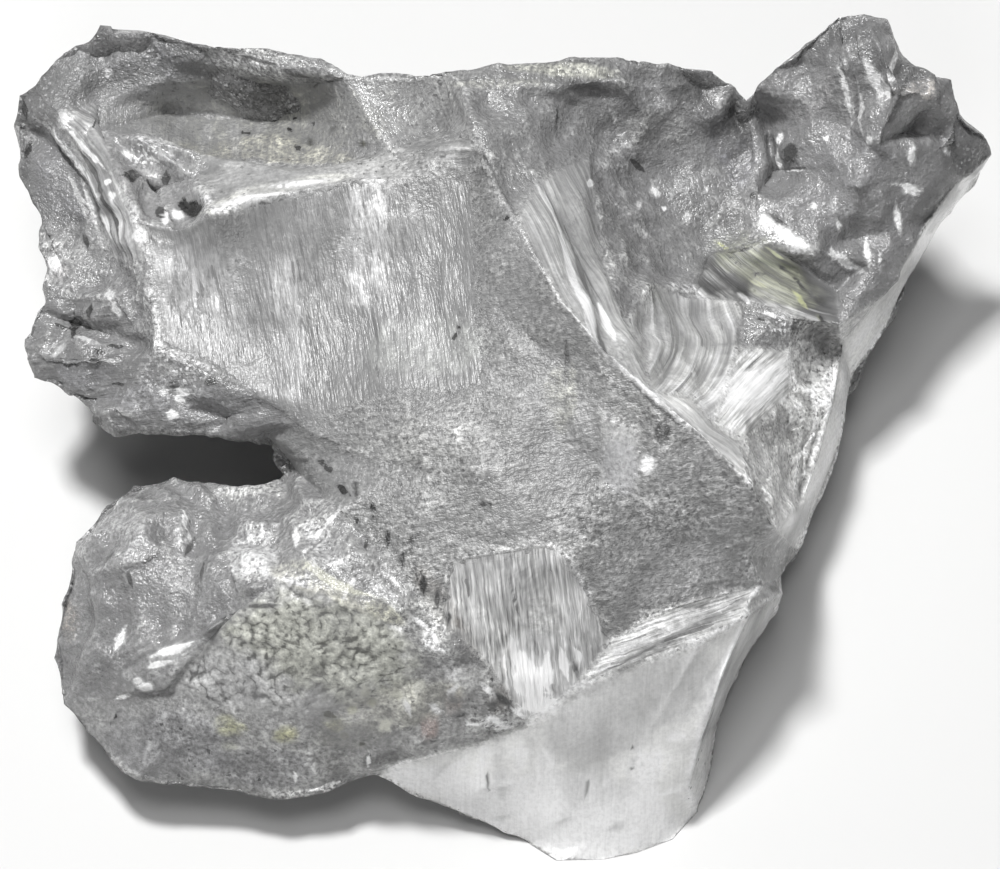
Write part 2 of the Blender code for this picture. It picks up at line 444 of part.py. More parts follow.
def facet_cage():
    """The flat-faceted crystal: one face per facet, with the number of its kind kept on the face."""
    points = corner_points()
    cage = bmesh.new()
    kind_layer = cage.faces.layers.int.new("kind")
    facet_layer = cage.faces.layers.int.new("facet")
    corners = {name: cage.verts.new(place) for name, place in points.items()}
    facet_number = 0
    for kind_number, loops in enumerate(FACETS.values()):
        for loop in loops:
            face = cage.faces.new([corners[name] for name in loop.split()])
            face[kind_layer] = kind_number
            face[facet_layer] = facet_number
            facet_number += 1
    return cage


def divide_facets(cage):
    """Split every edge, fan each facet out from its middle and divide the fans once more."""
    bmesh.ops.subdivide_edges(cage, edges=cage.edges[:], cuts=CUTS_PER_EDGE)
    bmesh.ops.poke(cage, faces=cage.faces[:], center_mode="MEAN")
    bmesh.ops.subdivide_edges(cage, edges=cage.edges[:], cuts=CUTS_PER_EDGE, use_grid_fill=True)
    bmesh.ops.triangulate(cage, faces=cage.faces[:])
    cage.normal_update()
    cage.verts.index_update()


def lattice_value(cells, seed):
    """A fixed value from -1 to 1 for each whole-number cell."""
    mixed = cells[:, 0] * 374761393 + cells[:, 1] * 668265263 + cells[:, 2] * 2147483647 + seed * 144269
    mixed = (mixed ^ (mixed >> 13)) * 1274126177 & 0x7FFFFFFF
    mixed = (mixed ^ (mixed >> 16)) & 0xFFFF
    return mixed / 32767.5 - 1.0


def lattice_noise(places, length, seed):
    """Smooth lumps of the given length: cell values blended along x, y and z."""
    scaled = places / length
    cell = np.floor(scaled).astype(np.int64)
    part = scaled - cell
    blend = part * part * (3.0 - 2.0 * part)
    total = np.zeros(len(places))
    for step in np.ndindex(2, 2, 2):
        corner = np.array(step)
        weight = np.prod(np.where(corner == 1, blend, 1.0 - blend), axis=1)
        total += weight * lattice_value(cell + corner, seed)
    return total


def distance_to_edge(places, start, end):
    """Distance of each place from the straight edge between two corners."""
    along = end - start
    share = np.clip((places - start) @ along / max(along @ along, 1e-12), 0.0, 1.0)
    return np.linalg.norm(places - start - share[:, None] * along, axis=1)


def facet_rise(cage, places):
    """For each vertex, 0 on the ridges of its facet and 1 in the middle of it."""
    points = {name: np.array(place) for name, place in corner_points().items()}
    facet_layer = cage.faces.layers.int["facet"]
    members = {}
    for face in cage.faces:
        members.setdefault(face[facet_layer], set()).update(vert.index for vert in face.verts)
    rise = np.zeros(len(places))
    loops = [loop.split() for kind_loops in FACETS.values() for loop in kind_loops]
    for facet_number, loop in enumerate(loops):
        chosen = np.array(sorted(members[facet_number]))
        corners = np.array([points[name] for name in loop])
        to_middle = np.linalg.norm(places[chosen] - corners.mean(axis=0), axis=1)
        edges = zip(corners, np.roll(corners, -1, axis=0))
        to_ridge = np.min([distance_to_edge(places[chosen], a, b) for a, b in edges], axis=0)
        share = to_ridge / (to_ridge + to_middle)
        rise[chosen] = np.maximum(rise[chosen], np.sin(0.5 * np.pi * share) ** 2)
    return rise


def vertex_relief(cage):
    """Swell and lump height of each vertex: the mean over the kinds of surface that meet there."""
    kind_layer = cage.faces.layers.int["kind"]
    kinds = np.array([RELIEF[kind] for kind in FACETS])
    totals = np.zeros((len(cage.verts), 2))
    counts = np.zeros(len(cage.verts))
    grounded = np.zeros(len(cage.verts), dtype=bool)
    base_number = list(FACETS).index("base")
    for face in cage.faces:
        for vert in face.verts:
            totals[vert.index] += kinds[face[kind_layer]]
            counts[vert.index] += 1
            grounded[vert.index] |= face[kind_layer] == base_number
    return totals / counts[:, None], grounded


def roughen(cage):
    """Swell each facet and raise the lumps of its surface; the base stays flat on the table."""
    places = np.array([vert.co for vert in cage.verts])
    normals = np.array([vert.normal for vert in cage.verts])
    relief, grounded = vertex_relief(cage)
    lumps = lattice_noise(places, LUMP_LENGTH, LATTICE_SEED)
    lumps += SMALL_LUMP_SHARE * lattice_noise(places, SMALL_LUMP_LENGTH, LATTICE_SEED + 1)
    height = relief[:, 0] * facet_rise(cage, places) + relief[:, 1] * lumps
    moved = places + normals * height[:, None]
    moved[:, 2] = np.maximum(moved[:, 2], FOOT_CLEARANCE)
    moved = np.where(grounded[:, None], places, moved)
    for vert, place in zip(cage.verts, moved):
        vert.co = place


def seat_on_origin(cage):
    """Put the middle of the crystal's plan over the origin and turn millimetres into metres."""
    places = np.array([vert.co for vert in cage.verts])
    low, high = places.min(axis=0), places.max(axis=0)
    middle = Vector(((low[0] + high[0]) / 2, (low[1] + high[1]) / 2, low[2]))
    print("plan middle (mm):", tuple(round(v, 3) for v in middle), "size (mm):", np.round(high - low, 2))
    wanted = np.array([CRYSTAL_LENGTH, CRYSTAL_DEPTH, CRYSTAL_HEIGHT])
    if np.abs(high - low - wanted).max() > SIZE_SLACK:
        raise ValueError("the corners no longer add up to the stated size")
    for vert in cage.verts:
        vert.co = (vert.co - middle) * MM


def topaz_material():
    material = bpy.data.materials.new("topaz_clear")
    material.use_nodes = True
    shader = material.node_tree.nodes["Principled BSDF"]
    shader.inputs["Base Color"].default_value = TOPAZ_COLOUR
    shader.inputs["Roughness"].default_value = TOPAZ_ROUGHNESS
    shader.inputs["Metallic"].default_value = 0.0
    shader.inputs["IOR"].default_value = TOPAZ_IOR
    material.diffuse_color = TOPAZ_COLOUR
    return material


def make_topaz():
    cage = facet_cage()
    divide_facets(cage)
    roughen(cage)
    seat_on_origin(cage)
    bmesh.ops.recalc_face_normals(cage, faces=cage.faces[:])
    mesh = bpy.data.meshes.new("topaz")
    cage.to_mesh(mesh)
    cage.free()
    topaz = bpy.data.objects.new("topaz", mesh)
    bpy.context.scene.collection.objects.link(topaz)
    topaz.data.materials.append(topaz_material())
    print("triangles:", len(mesh.polygons))
    return topaz


clear_scene()
make_topaz()
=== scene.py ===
import math
import bpy
import numpy as np
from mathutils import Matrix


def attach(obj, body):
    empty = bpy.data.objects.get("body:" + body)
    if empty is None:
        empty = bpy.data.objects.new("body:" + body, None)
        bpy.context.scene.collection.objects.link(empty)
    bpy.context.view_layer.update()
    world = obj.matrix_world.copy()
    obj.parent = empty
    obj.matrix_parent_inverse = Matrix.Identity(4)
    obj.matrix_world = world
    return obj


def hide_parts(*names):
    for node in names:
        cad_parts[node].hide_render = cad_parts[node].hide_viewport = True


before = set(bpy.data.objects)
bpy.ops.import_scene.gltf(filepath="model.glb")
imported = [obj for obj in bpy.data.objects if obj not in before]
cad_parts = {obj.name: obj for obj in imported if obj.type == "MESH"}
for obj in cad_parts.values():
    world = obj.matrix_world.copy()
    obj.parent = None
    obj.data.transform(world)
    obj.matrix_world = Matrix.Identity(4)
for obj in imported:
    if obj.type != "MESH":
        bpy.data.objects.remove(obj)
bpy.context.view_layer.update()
print("frame loaded:", len(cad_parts), "node")

mm = 0.001

# The stone: one broken crystal. Its corners are met from a sighting point to the south, looking
# down at sightElevation; the flat facets between them are then divided and given their own relief.
stone = {
    "sightElevation": 62.0,
    "sightDistance": 260.0,
    "sightTarget": (0.0, 0.0, 14.0),
    "planMiddle": (0.219, 1.578),  # middle of the solid's plan, which sits over the origin
    "cells": 13,  # grid cells along each side of a quarter of a facet
    "footClearance": 0.05,
    "weldGrid": 0.0001,
    "weldShift": 0.3137,  # keeps round coordinates off the cells' borders
    "triangles": 196000,
    "hiddenKinds": ("flank", "under", "base"),
    "sighted": {  # (across, up the sighting plane, height over the table), millimetres
        # outline, clockwise from the root of the upper west arm
        "rim01": (-18.6, -0.1, 15.5), "rim02": (-22.6, 0.1, 15), "rim03": (-26.6, 0.4, 14.5),
        "rim04": (-30.6, 0.4, 13.5), "rim05": (-32.2, 1.5, 13.2), "rim06": (-33.8, 2.9, 13),
        "rim07": (-37.2, 4.6, 12.5), "rim08": (-38, 7.6, 13.5), "rim09": (-37.1, 9.8, 14.5),
        "rim10": (-36, 11.1, 15), "rim11": (-36.6, 16.8, 15), "rim12": (-38.2, 20.5, 15),
        "rim13": (-39.1, 24.8, 16), "rim14": (-38.4, 27.2, 17.5), "rim15": (-37.3, 27.7, 18.5),
        "rim16": (-35, 30.6, 20), "rim17": (-31.7, 32.8, 21.5), "rim18": (-28, 32.3, 22.5),
        "rim19": (-23.6, 31.1, 23.5), "rim20": (-19, 30.8, 24.5), "rim21": (-14.6, 29.8, 25),
        "rim22": (-12.4, 28.6, 25.5), "rim23": (-6.8, 28.5, 26), "rim24": (-4.4, 29.2, 26.5),
        "rim25": (0, 29.4, 26.5), "rim26": (4.8, 29.9, 26), "rim27": (9.4, 30.2, 25),
        "rim28": (12.8, 29.6, 24), "rim29": (17, 29.2, 22.5), "rim30": (18.6, 27.9, 21.5),
        "rim31": (19.8, 26.8, 20.5), "rim32": (22, 29.2, 22.5), "rim33": (24.4, 31.2, 24),
        "rim34": (27, 33.5, 25.5), "rim35": (29.1, 33.6, 25.5), "rim36": (30.7, 32.9, 25),
        "rim37": (32.2, 30.2, 24), "rim38": (34.4, 28.8, 23.5), "rim39": (36.1, 28.4, 23),
        "rim40": (36.9, 26, 21.5), "rim41": (38.8, 23.9, 18.5), "rim42": (39.3, 22.4, 16.5),
        "rim43": (38, 20.4, 13), "rim44": (35.2, 16.8, 10), "rim45": (32, 10.9, 8),
        "rim46": (30.4, 7.9, 7.5), "rim47": (28.2, 4.6, 7), "rim48": (27.7, 1.8, 6.5),
        "rim49": (26.8, -1.6, 6), "rim50": (25.2, -5.6, 5.5), "rim51": (23.5, -9.2, 5),
        "rim52": (22.5, -11.3, 6.5), "rim53": (22.7, -12.6, 5.5), "rim54": (21.4, -15, 4),
        "rim55": (19.2, -18.8, 2.5), "rim56": (17.3, -23.2, 1.2), "rim57": (16.8, -26.7, 0.6),
        "rim58": (15.8, -30.2, 0), "rim59": (13.8, -32.4, 0), "rim60": (10.9, -33.5, 0),
        "rim61": (8.3, -34, 0), "rim62": (4.5, -34.1, 0), "rim63": (2.4, -32.8, 0),
        "rim64": (0.4, -32, 0.8), "rim65": (-3.2, -30.4, 2), "rim66": (-6, -29.2, 3.2),
        "rim67": (-7.8, -28.3, 4.2), "rim68": (-9.8, -27.3, 5.2), "rim69": (-12.4, -27.6, 5.2),
        "rim70": (-14.4, -28.2, 5), "rim71": (-18, -29.1, 4.5), "rim72": (-22, -28.7, 4.5),
        "rim73": (-27.2, -27.9, 5), "rim74": (-30.2, -26.7, 5.5), "rim75": (-32.6, -24, 6),
        "rim76": (-35, -21.6, 6.5), "rim77": (-35.7, -18, 7), "rim78": (-35.4, -13.6, 7.8),
        "rim79": (-33.9, -8.6, 9), "rim80": (-31.8, -5.5, 10), "rim81": (-29.2, -4, 10.5),
        "rim82": (-26.1, -3.4, 11), "rim83": (-23.6, -4.2, 11), "rim84": (-20.8, -4.6, 11.5),
        "rim85": (-17.2, -3.9, 12.5), "rim86": (-16.4, -2.8, 13.5), "rim87": (-17.6, -1.2, 14.8),
        # upper west arm
        "arm01": (-35.4, 25.8, 20.2), "arm02": (-32, 27.1, 18.8), "arm03": (-27.2, 28.2, 19.6),
        "arm04": (-21.6, 28.4, 20.8), "arm05": (-14.2, 28.4, 23.2), "arm06": (-10.3, 24.8, 24.6),
        "arm07": (-8.6, 22.8, 24.8), "arm08": (-13.2, 21.5, 22.4), "arm09": (-19, 21.3, 21),
        "arm10": (-24, 22.6, 20.4), "arm11": (-28.8, 23.6, 20.2), "arm12": (-32.2, 24.2, 18.6),
        "bowl1": (-26.4, 25.8, 16.2), "bowl2": (-18, 25.2, 17.4), "lip1": (-7.2, 20.5, 25.8),
        "lip2": (-12.4, 20.3, 24.8), "lip3": (-16, 19.5, 24.2), "lip4": (-19.8, 19, 24),
        "lip5": (-22.8, 17.7, 23.8), "lip6": (-24.3, 20.5, 20.2), "rib1": (-30.4, 21.3, 21),
        "rib2": (-29.1, 17, 21.2), "rib3": (-28.3, 13.8, 20.6), "rib5": (-33.8, 21.6, 17.4),
        "rib6": (-32.3, 17.6, 16.4), "rib7": (-31, 13.6, 16.6), "pocket0": (-27.8, 19.4, 17.2),
        "pocket1": (-25.8, 16.2, 21.6), "flank1": (-36.8, 23.7, 16), "flank2": (-35, 13.3, 14.6),
        "flank3": (-34, 10.9, 15.2), "flank4": (-30.6, 10.8, 17.8), "striae1": (-22.8, 11.6, 19.4),
        "striae2": (-16, 10.8, 20.6), "striae3": (-8, 11.6, 22.8), "striae4": (-1.8, 10.8, 25.2),
        "skirt2": (-27.2, 7.2, 18.6), "skirt3": (-22.8, 5, 18.8), "skirt4": (-18.8, 2.9, 18.6),
        "skirt5": (-15.8, 0.5, 18.8), "chunk1": (-33.8, 8.8, 13.4), "chunk3": (-32.4, 5.8, 16),
        "chunk4": (-28.8, 7.2, 16.6), "chunk5": (-32.2, 2.9, 13.2), "chunk6": (-26.8, 2.9, 16.6),
        "chunk7": (-21.4, 1.6, 15.8), "chunk8": (-36.4, 6, 14.6),
        # sloping middle field and its ridges
        "saddle2": (-5.1, 24.5, 23.8), "saddle4": (-3, 28, 27.2), "saddle5": (-1.8, 23.6, 29),
        "saddle6": (0, 28.1, 27), "saddle7": (4.8, 27.9, 26.2), "saddle8": (9.4, 28.4, 25.2),
        "saddle9": (-1.8, 21.6, 27), "step1": (-8, 2.8, 22.4), "step2": (-0.8, 3.6, 24.6),
        "edge1": (-12.8, -6, 19.6), "edge2": (-8, -11, 18.8), "edge3": (-4.8, -15, 17.2),
        "edge4": (-1, -18.4, 14.8), "field1": (-8, -2.8, 21), "field2": (-1.6, -2.8, 23.4),
        "field3": (4.8, -2, 23.6), "field4": (-4, -10, 19.8), "field5": (4.8, -8.4, 22.4),
        "crest0": (1.6, 8.4, 26), "crest1": (4.8, 5.6, 26), "pane1": (8.2, 1.2, 26),
        "pane2": (11.3, 0.4, 25.6), "pane3": (10.4, -5.2, 22.6), "pane4": (8, -3.8, 22.8),
        "pane5": (15.2, -3.6, 24), "pane6": (19, -8.4, 19), "pane7": (12, -9.2, 19.6),
        "ridge1": (0.8, 17.6, 29.2), "ridge2": (4.8, 10.8, 29), "ridge3": (8, 7.2, 28.4),
        "ridge4": (12, 3.4, 27.4), "ridge5": (16, 0.2, 26.2), "ridge6": (19.6, -3.5, 24.2),
        "ridge7": (22, -7.5, 20), "window1": (2.4, -17.2, 15), "shelf0": (6.2, -20, 12.8),
        "shelf1": (9, -16.4, 14.8), "shelf2": (11.2, -14.8, 16.4), "shelf3": (16, -13.2, 17),
        "shelf4": (16, -16.6, 15), "shelf5": (19.8, -14.5, 14.6), "tip1": (2.2, -23.2, 10.5),
        "knob1": (21, -12, 14.5), "knob2": (19.8, -13.4, 15),
        # east hollow and the side below it
        "blade0": (2, 24.8, 26.6), "blade1": (3.8, 21.2, 26.4), "blade2": (6, 26.4, 24.2),
        "blade3": (6.2, 14.4, 26.4), "blade4": (8.2, 9.3, 25.8), "valley0": (11.2, 26, 22.8),
        "valley31": (14.6, 26, 20.8), "valley1": (7.4, 22.8, 23), "valley2": (11.2, 21.6, 19),
        "valley3": (16, 21, 17.4), "valley33": (17.6, 25.5, 20.2), "valley4": (20.5, 19, 17.2),
        "valley34": (20, 22.8, 17.4), "valley5": (12, 16, 18.8), "valley6": (16.4, 14.4, 16.4),
        "valley7": (21, 15.3, 17.2), "valley37": (24, 13.6, 15.8), "valley8": (8.2, 13.8, 23.4),
        "valley9": (10, 9.2, 25), "valley10": (12.4, 12, 20.6), "valley11": (15.4, 10.9, 18),
        "valley12": (19.6, 10.6, 15.8), "valley13": (23.6, 9.3, 16.2), "valley14": (27.2, 8.8, 15.2),
        "valley38": (27, 11.4, 14.2), "valley15": (11.6, 6.8, 24.4), "valley16": (15.4, 2.9, 23.4),
        "valley17": (19, 7.2, 16.6), "valley39": (15.2, 7.2, 19.4), "valley18": (17.2, 0.8, 23.6),
        "valley19": (23.2, 6.8, 14.8), "valley20": (23.2, 3.2, 13.6), "valley21": (19.4, -0.6, 21.8),
        "chip1": (26.6, 5.8, 10.6), "chip2": (26.4, 2.4, 11.2), "chip3": (24, -1.2, 11.4),
        "chip4": (21.6, -2.8, 17.4), "chip5": (24.4, -5.2, 9.8), "strip1": (36.4, 19.9, 16.8),
        "strip2": (34, 16.5, 15.6), "strip3": (32, 13.3, 14.4), "strip4": (30.7, 11.4, 13.6),
        "strip5": (27.4, 7.2, 11.8),
        # north-east head
        "head1": (27.6, 29.8, 25.4), "head2": (28.2, 24.5, 20.6), "head3": (24, 25.3, 19.6),
        "head4": (21.4, 25.2, 17.6), "head5": (29.4, 27.2, 23), "head6": (30.6, 30.4, 26.6),
        "head7": (31.8, 27.4, 25.6), "head8": (34.8, 27.2, 24.2), "head9": (33.2, 24.4, 20.2),
        "head10": (36.4, 23.6, 20.8), "head11": (30.2, 23.4, 22.6), "head12": (21.8, 21, 15.2),
        "head13": (25, 21.2, 18.2), "head14": (28.6, 19.7, 20.8), "head15": (32.2, 21, 19.4),
        "head16": (32, 16.8, 17), "head17": (28.6, 15.7, 16), "head18": (25.2, 14.9, 17.6),
        "head19": (22.6, 17, 17.4), "head20": (28, 12.8, 14.6), "head21": (30.7, 14.1, 16.8),
        # south-west lobe
        "lobe1": (-31.2, -6.8, 11.8), "lobe2": (-27.2, -5.6, 13.8), "lobe3": (-26.8, -9.6, 14.6),
        "lobe4": (-30.4, -10.4, 14.2), "lobe5": (-33.2, -11.2, 11), "lobe6": (-24.6, -5.5, 12.8),
        "lobe7": (-24.4, -10, 14.4), "lobe18": (-22, -6, 12.8), "lobe8": (-21.8, -8.8, 15),
        "lobe9": (-17.8, -8.8, 16), "lobe10": (-17, -5.6, 15.6), "lobe11": (-15, -6.8, 17.8),
        "lobe12": (-17.2, -11.6, 18.2), "lobe14": (-21.4, -11.6, 17), "lobe15": (-24, -15.5, 14.4),
        "lobe16": (-12.4, -12.8, 19), "cobble3": (-7.4, -15.8, 16.8), "cobble4": (-6, -18.4, 14.6),
        "cobble5": (-9.2, -21.2, 12), "cobble6": (-16, -22.4, 11), "cobble7": (-21.2, -22.2, 10.4),
        "cobble8": (-26.8, -20.4, 10), "cobble9": (-23.6, -16.8, 13.8),
        "cobble10": (-20.8, -13.9, 16.8), "cobble1": (-15.2, -17.4, 15.6), "cheek1": (-29.2, -16.4, 12),
        "cheek2": (-31.2, -20.8, 9.2), "cheek3": (-33, -16.4, 9.4), "cheek4": (-26.8, -24.4, 8),
        "cheek5": (-20, -25.2, 8), "cheek6": (-12.8, -24.8, 8.6), "cheek7": (-8.4, -24.8, 9),
        "seam1": (-7.8, -26.2, 7.8), "seam2": (-4.8, -25.5, 8.6), "seam3": (-1.4, -24.6, 9.4),
        "corner1": (-4.4, -21.6, 12), "corner2": (-0.8, -21.6, 13),
        # clear south-east wedge
        "keel1": (17.8, -19, 12), "keel2": (16.2, -24, 8), "keel3": (15, -28.4, 4),
        "wedge1": (-1.6, -28.4, 5.5), "wedge2": (4.8, -27.2, 6.2), "wedge3": (11.2, -24.8, 7.9),
        "wedge4": (11.2, -29.2, 3.9), "wedge5": (4.8, -30.8, 2.9),
    },
    "underside": {  # (x, y, height), millimetres
        "belly1": (-14, 4, 5.5), "belly2": (-26, 9.5, 8.5), "belly3": (-33.5, 13, 9.5),
        "belly4": (-36.5, 21, 9), "belly5": (-35, 28, 11.5), "belly6": (-27, 27.5, 9),
        "belly7": (-16, 24, 10), "belly8": (-4, 22.5, 13), "belly9": (8, 24.5, 12),
        "belly10": (18, 24, 9), "belly11": (28, 26.5, 12), "belly12": (35, 22.5, 9),
        "belly13": (28.5, 10, 3), "belly14": (22.5, -2, 2), "belly15": (-12, -22, 3),
        "belly16": (-24, -22, 2.6), "belly17": (-31, -16, 3.2), "belly18": (-30, -8, 5),
        "belly19": (-22, -6, 5), "belly20": (-15.5, -5, 7), "hollow1": (-22, 18, 4.5),
        "hollow2": (24, 17, 4), "hollow3": (-22, -14, 1.6), "base1": (-5.5, -22, 0),
        "base2": (-13, -8, 0), "base3": (-8, 9, 0), "base4": (-2, 15.5, 0), "base5": (12, 17.5, 0),
        "base6": (20.5, 9, 0), "base7": (19, -5, 0), "base8": (15, -17, 0),
    },
    "facets": {  # loops of corner names, by kind of surface
        "band": ["arm01 arm02 rim17 rim16 rim15", "arm02 arm03 rim18 rim17", "arm03 arm04 rim19 rim18"],
        "ledge": ["arm04 arm05 rim22 rim21 rim20 rim19"],
        "bowl": ["arm12 bowl1 arm03 arm02", "arm11 bowl1 arm12", "bowl1 bowl2 arm04 arm03",
            "bowl2 arm05 arm04", "bowl2 arm06 rim22 arm05", "arm11 arm10 arm09 bowl2 bowl1",
            "arm09 arm08 arm07 arm06 bowl2"],
        "lip": ["lip6 lip5 lip4 lip3 lip2 lip1 arm07 arm08 arm09 arm10"],
        "rib": ["rib5 rib1 arm12 arm02 arm01", "rib6 rib2 rib1 rib5", "rib7 rib3 rib2 rib6"],
        "pocket": ["rib1 pocket0 lip6 arm11 arm12", "lip6 arm10 arm11", "rib2 pocket1 pocket0 rib1",
            "pocket1 lip5 lip6 pocket0"],
        "side": ["flank1 arm01 rim15 rim14 rim13", "rim11 rib6 rib5 flank1 rim13 rim12",
            "rib5 arm01 flank1"],
        "saddle": ["arm06 arm07 saddle2 rim23 rim22", "saddle2 saddle4 rim24 rim23",
            "saddle2 saddle5 saddle4"],
        "cream": ["saddle4 saddle6 rim25 rim24", "saddle6 saddle7 rim26 rim25",
            "saddle7 saddle8 rim27 rim26"],
        "striae": ["rib2 rib3 striae1 lip5 pocket1", "skirt2 skirt3 striae1 rib3",
            "striae1 striae2 lip3 lip4 lip5", "skirt3 skirt4 skirt5 striae2 striae1",
            "striae2 striae3 lip1 lip2 lip3", "skirt5 step1 striae3 striae2",
            "striae3 striae4 saddle9 lip1", "step1 step2 striae4 striae3"],
        "crest": ["lip1 saddle9 saddle5 saddle2 arm07"],
        "arm": ["flank2 rib7 rib6 rim11", "flank3 flank2 rim11 rim10", "flank3 flank4 rib7 flank2",
            "chunk4 skirt2 rib3 rib7 flank4"],
        "chunk": ["chunk1 flank3 rim10 rim09", "chunk8 chunk1 rim09 rim08", "chunk8 rim08 rim07",
            "chunk1 chunk4 flank4 flank3", "chunk8 chunk3 chunk4 chunk1",
            "rim07 rim06 chunk5 chunk3 chunk8", "chunk5 chunk6 skirt2 chunk4 chunk3", "chunk5 rim06 rim05",
            "rim03 chunk6 chunk5 rim05 rim04", "chunk6 chunk7 skirt4 skirt3 skirt2",
            "rim02 chunk7 chunk6 rim03", "rim02 rim01 skirt5 skirt4 chunk7"],
        "plateau": ["rim87 rim86 edge1 field1 skirt5 rim01", "field1 field2 step2 step1 skirt5",
            "field2 field3 crest1 step2", "striae4 crest0 ridge2 ridge1 saddle5 saddle9",
            "step2 crest1 crest0 striae4", "crest1 ridge3 ridge2 crest0",
            "pane1 pane2 ridge4 ridge3 crest1", "field3 pane4 pane1 crest1",
            "pane2 pane3 pane5 ridge5 ridge4", "pane5 pane6 ridge6 ridge5", "pane6 ridge7 ridge6",
            "pane6 knob1 rim52 rim51 ridge7", "field5 pane7 pane3 pane4 field3", "pane7 pane6 pane5 pane3",
            "shelf1 shelf2 pane7 field5", "shelf2 shelf3 knob1 pane6 pane7",
            "edge1 edge2 field4 field2 field1", "field4 field5 field3 field2", "edge3 field4 edge2"],
        "pane": ["pane4 pane3 pane2 pane1"],
        "window": ["edge3 edge4 window1 field5 field4", "window1 shelf0 shelf1 field5",
            "edge4 tip1 shelf0 window1"],
        "light": ["shelf0 shelf4 shelf2 shelf1", "shelf4 shelf5 knob2 knob1 shelf3 shelf2"],
        "lump": ["knob2 shelf5 rim53 rim52 knob1"],
        "valley": ["saddle5 blade0 saddle6 saddle4", "blade0 blade2 saddle7 saddle6",
            "blade2 valley0 saddle8 saddle7", "blade1 valley1 blade2 blade0",
            "valley1 valley2 valley0 blade2", "valley0 valley31 rim28 rim27 saddle8",
            "valley31 valley33 rim30 rim29 rim28", "valley33 valley34 rim31 rim30",
            "valley2 valley3 valley31 valley0", "valley3 valley34 valley33 valley31",
            "ridge1 blade1 blade0 saddle5", "valley8 valley5 valley2 valley1",
            "valley5 valley6 valley3 valley2", "valley6 valley7 valley4 valley34 valley3",
            "valley9 valley10 valley5 valley8", "valley10 valley11 valley6 valley5"],
        "blade": ["ridge2 blade3 blade1 ridge1", "ridge3 blade4 blade3 ridge2",
            "blade3 valley8 valley1 blade1", "blade4 valley9 valley8 blade3",
            "ridge3 ridge4 valley15 valley9 blade4"],
        "terrace": ["valley11 valley12 valley7 valley6", "valley12 valley13 valley37 valley7",
            "valley13 valley14 valley38 valley37"],
        "conchoid": ["valley15 valley39 valley10 valley9", "valley39 valley17 valley12 valley11 valley10",
            "ridge4 valley16 valley39 valley15", "valley16 valley18 valley17 valley39"],
        "bright": ["valley18 valley21 valley20 valley19 valley17"],
        "border": ["valley17 valley19 valley13 valley12"],
        "margin": ["ridge5 valley18 valley16 ridge4", "ridge6 valley21 valley18 ridge5"],
        "chip": ["valley19 chip1 strip5 valley14 valley13", "valley20 chip2 chip1 valley19",
            "valley21 chip4 chip3 chip2 valley20", "ridge6 ridge7 chip4 valley21",
            "ridge7 chip5 chip3 chip4", "chip5 chip2 chip3", "chip2 strip5 chip1"],
        "streak": ["strip5 strip4 valley14"],
        "edge": ["rim43 rim42 strip1", "strip2 rim44 rim43 strip1", "strip3 strip4 rim45 rim44 strip2",
            "strip5 rim47 rim46 rim45 strip4", "chip2 rim48 rim47 strip5", "chip5 rim50 rim49 rim48 chip2",
            "ridge7 rim51 rim50 chip5"],
        "head": ["head4 head3 rim33 rim32 rim31", "head3 head2 head1 rim34 rim33",
            "head1 head5 head6 rim35 rim34", "head6 head7 rim37 rim36 rim35", "head5 head7 head6",
            "head2 head5 head1", "head7 head8 rim39 rim38 rim37", "head11 head9 head8 head7",
            "head8 head9 head10 rim40 rim39", "head10 strip1 rim42 rim41 rim40", "head2 head11 head7 head5",
            "valley34 valley4 head12 head4 rim31", "head12 head13 head3 head4", "head13 head14 head2 head3",
            "head14 head15 head11 head2", "head15 head10 head9 head11",
            "head16 strip2 strip1 head10 head15", "head17 head16 head15 head14",
            "head18 head17 head14 head13", "head19 head18 head13 head12 valley4",
            "valley37 valley38 head20 head18", "head20 head21 head17 head18", "head21 strip3 head16 head17",
            "strip3 strip2 head16", "strip4 strip3 head21", "valley38 valley14 strip4 head21 head20"],
        "white": ["valley7 head18 head19 valley4", "valley37 head18 valley7"],
        "lobe": ["lobe1 lobe2 rim81 rim80", "lobe4 lobe3 lobe2 lobe1", "lobe5 lobe4 lobe1 rim80 rim79",
            "lobe2 lobe6 rim82 rim81", "lobe3 lobe7 lobe6 lobe2", "lobe6 lobe18 rim83 rim82",
            "lobe7 lobe8 lobe18 lobe6", "lobe18 lobe10 rim85 rim84 rim83", "lobe8 lobe9 lobe10 lobe18",
            "lobe10 lobe11 edge1 rim86 rim85", "lobe9 lobe12 lobe16 lobe11 lobe10",
            "lobe16 edge2 edge1 lobe11", "cobble3 edge3 edge2 lobe16", "cobble4 edge4 edge3 cobble3",
            "cheek1 lobe15 lobe7 lobe3 lobe4", "lobe15 cobble10 lobe14 lobe8 lobe7",
            "cobble10 lobe12 lobe14", "cobble9 cobble10 lobe15", "cheek3 cheek1 lobe4 lobe5",
            "rim77 cheek3 lobe5 rim79 rim78", "rim77 rim76 cheek2 cheek1 cheek3"],
        "oval": ["lobe14 lobe12 lobe9 lobe8"],
        "steps": ["cheek2 cobble8 cobble9 lobe15 cheek1"],
        "cobble": ["cobble10 cobble1 lobe16 lobe12", "cobble1 cobble4 cobble3 lobe16",
            "cobble1 cobble6 cobble5 cobble4", "cobble9 cobble7 cobble6 cobble1",
            "cobble9 cobble1 cobble10", "cobble8 cobble7 cobble9"],
        "sole": ["rim75 rim74 cheek4 cobble8 cheek2 rim76", "rim74 rim73 cheek4",
            "cheek4 cheek5 cobble7 cobble8", "rim73 rim72 cheek5 cheek4", "rim72 rim71 cheek5",
            "cheek5 cheek6 cobble6 cobble7", "rim71 rim70 rim69 cheek6 cheek5",
            "cheek6 cheek7 cobble5 cobble6", "rim69 rim68 seam1 cheek7 cheek6",
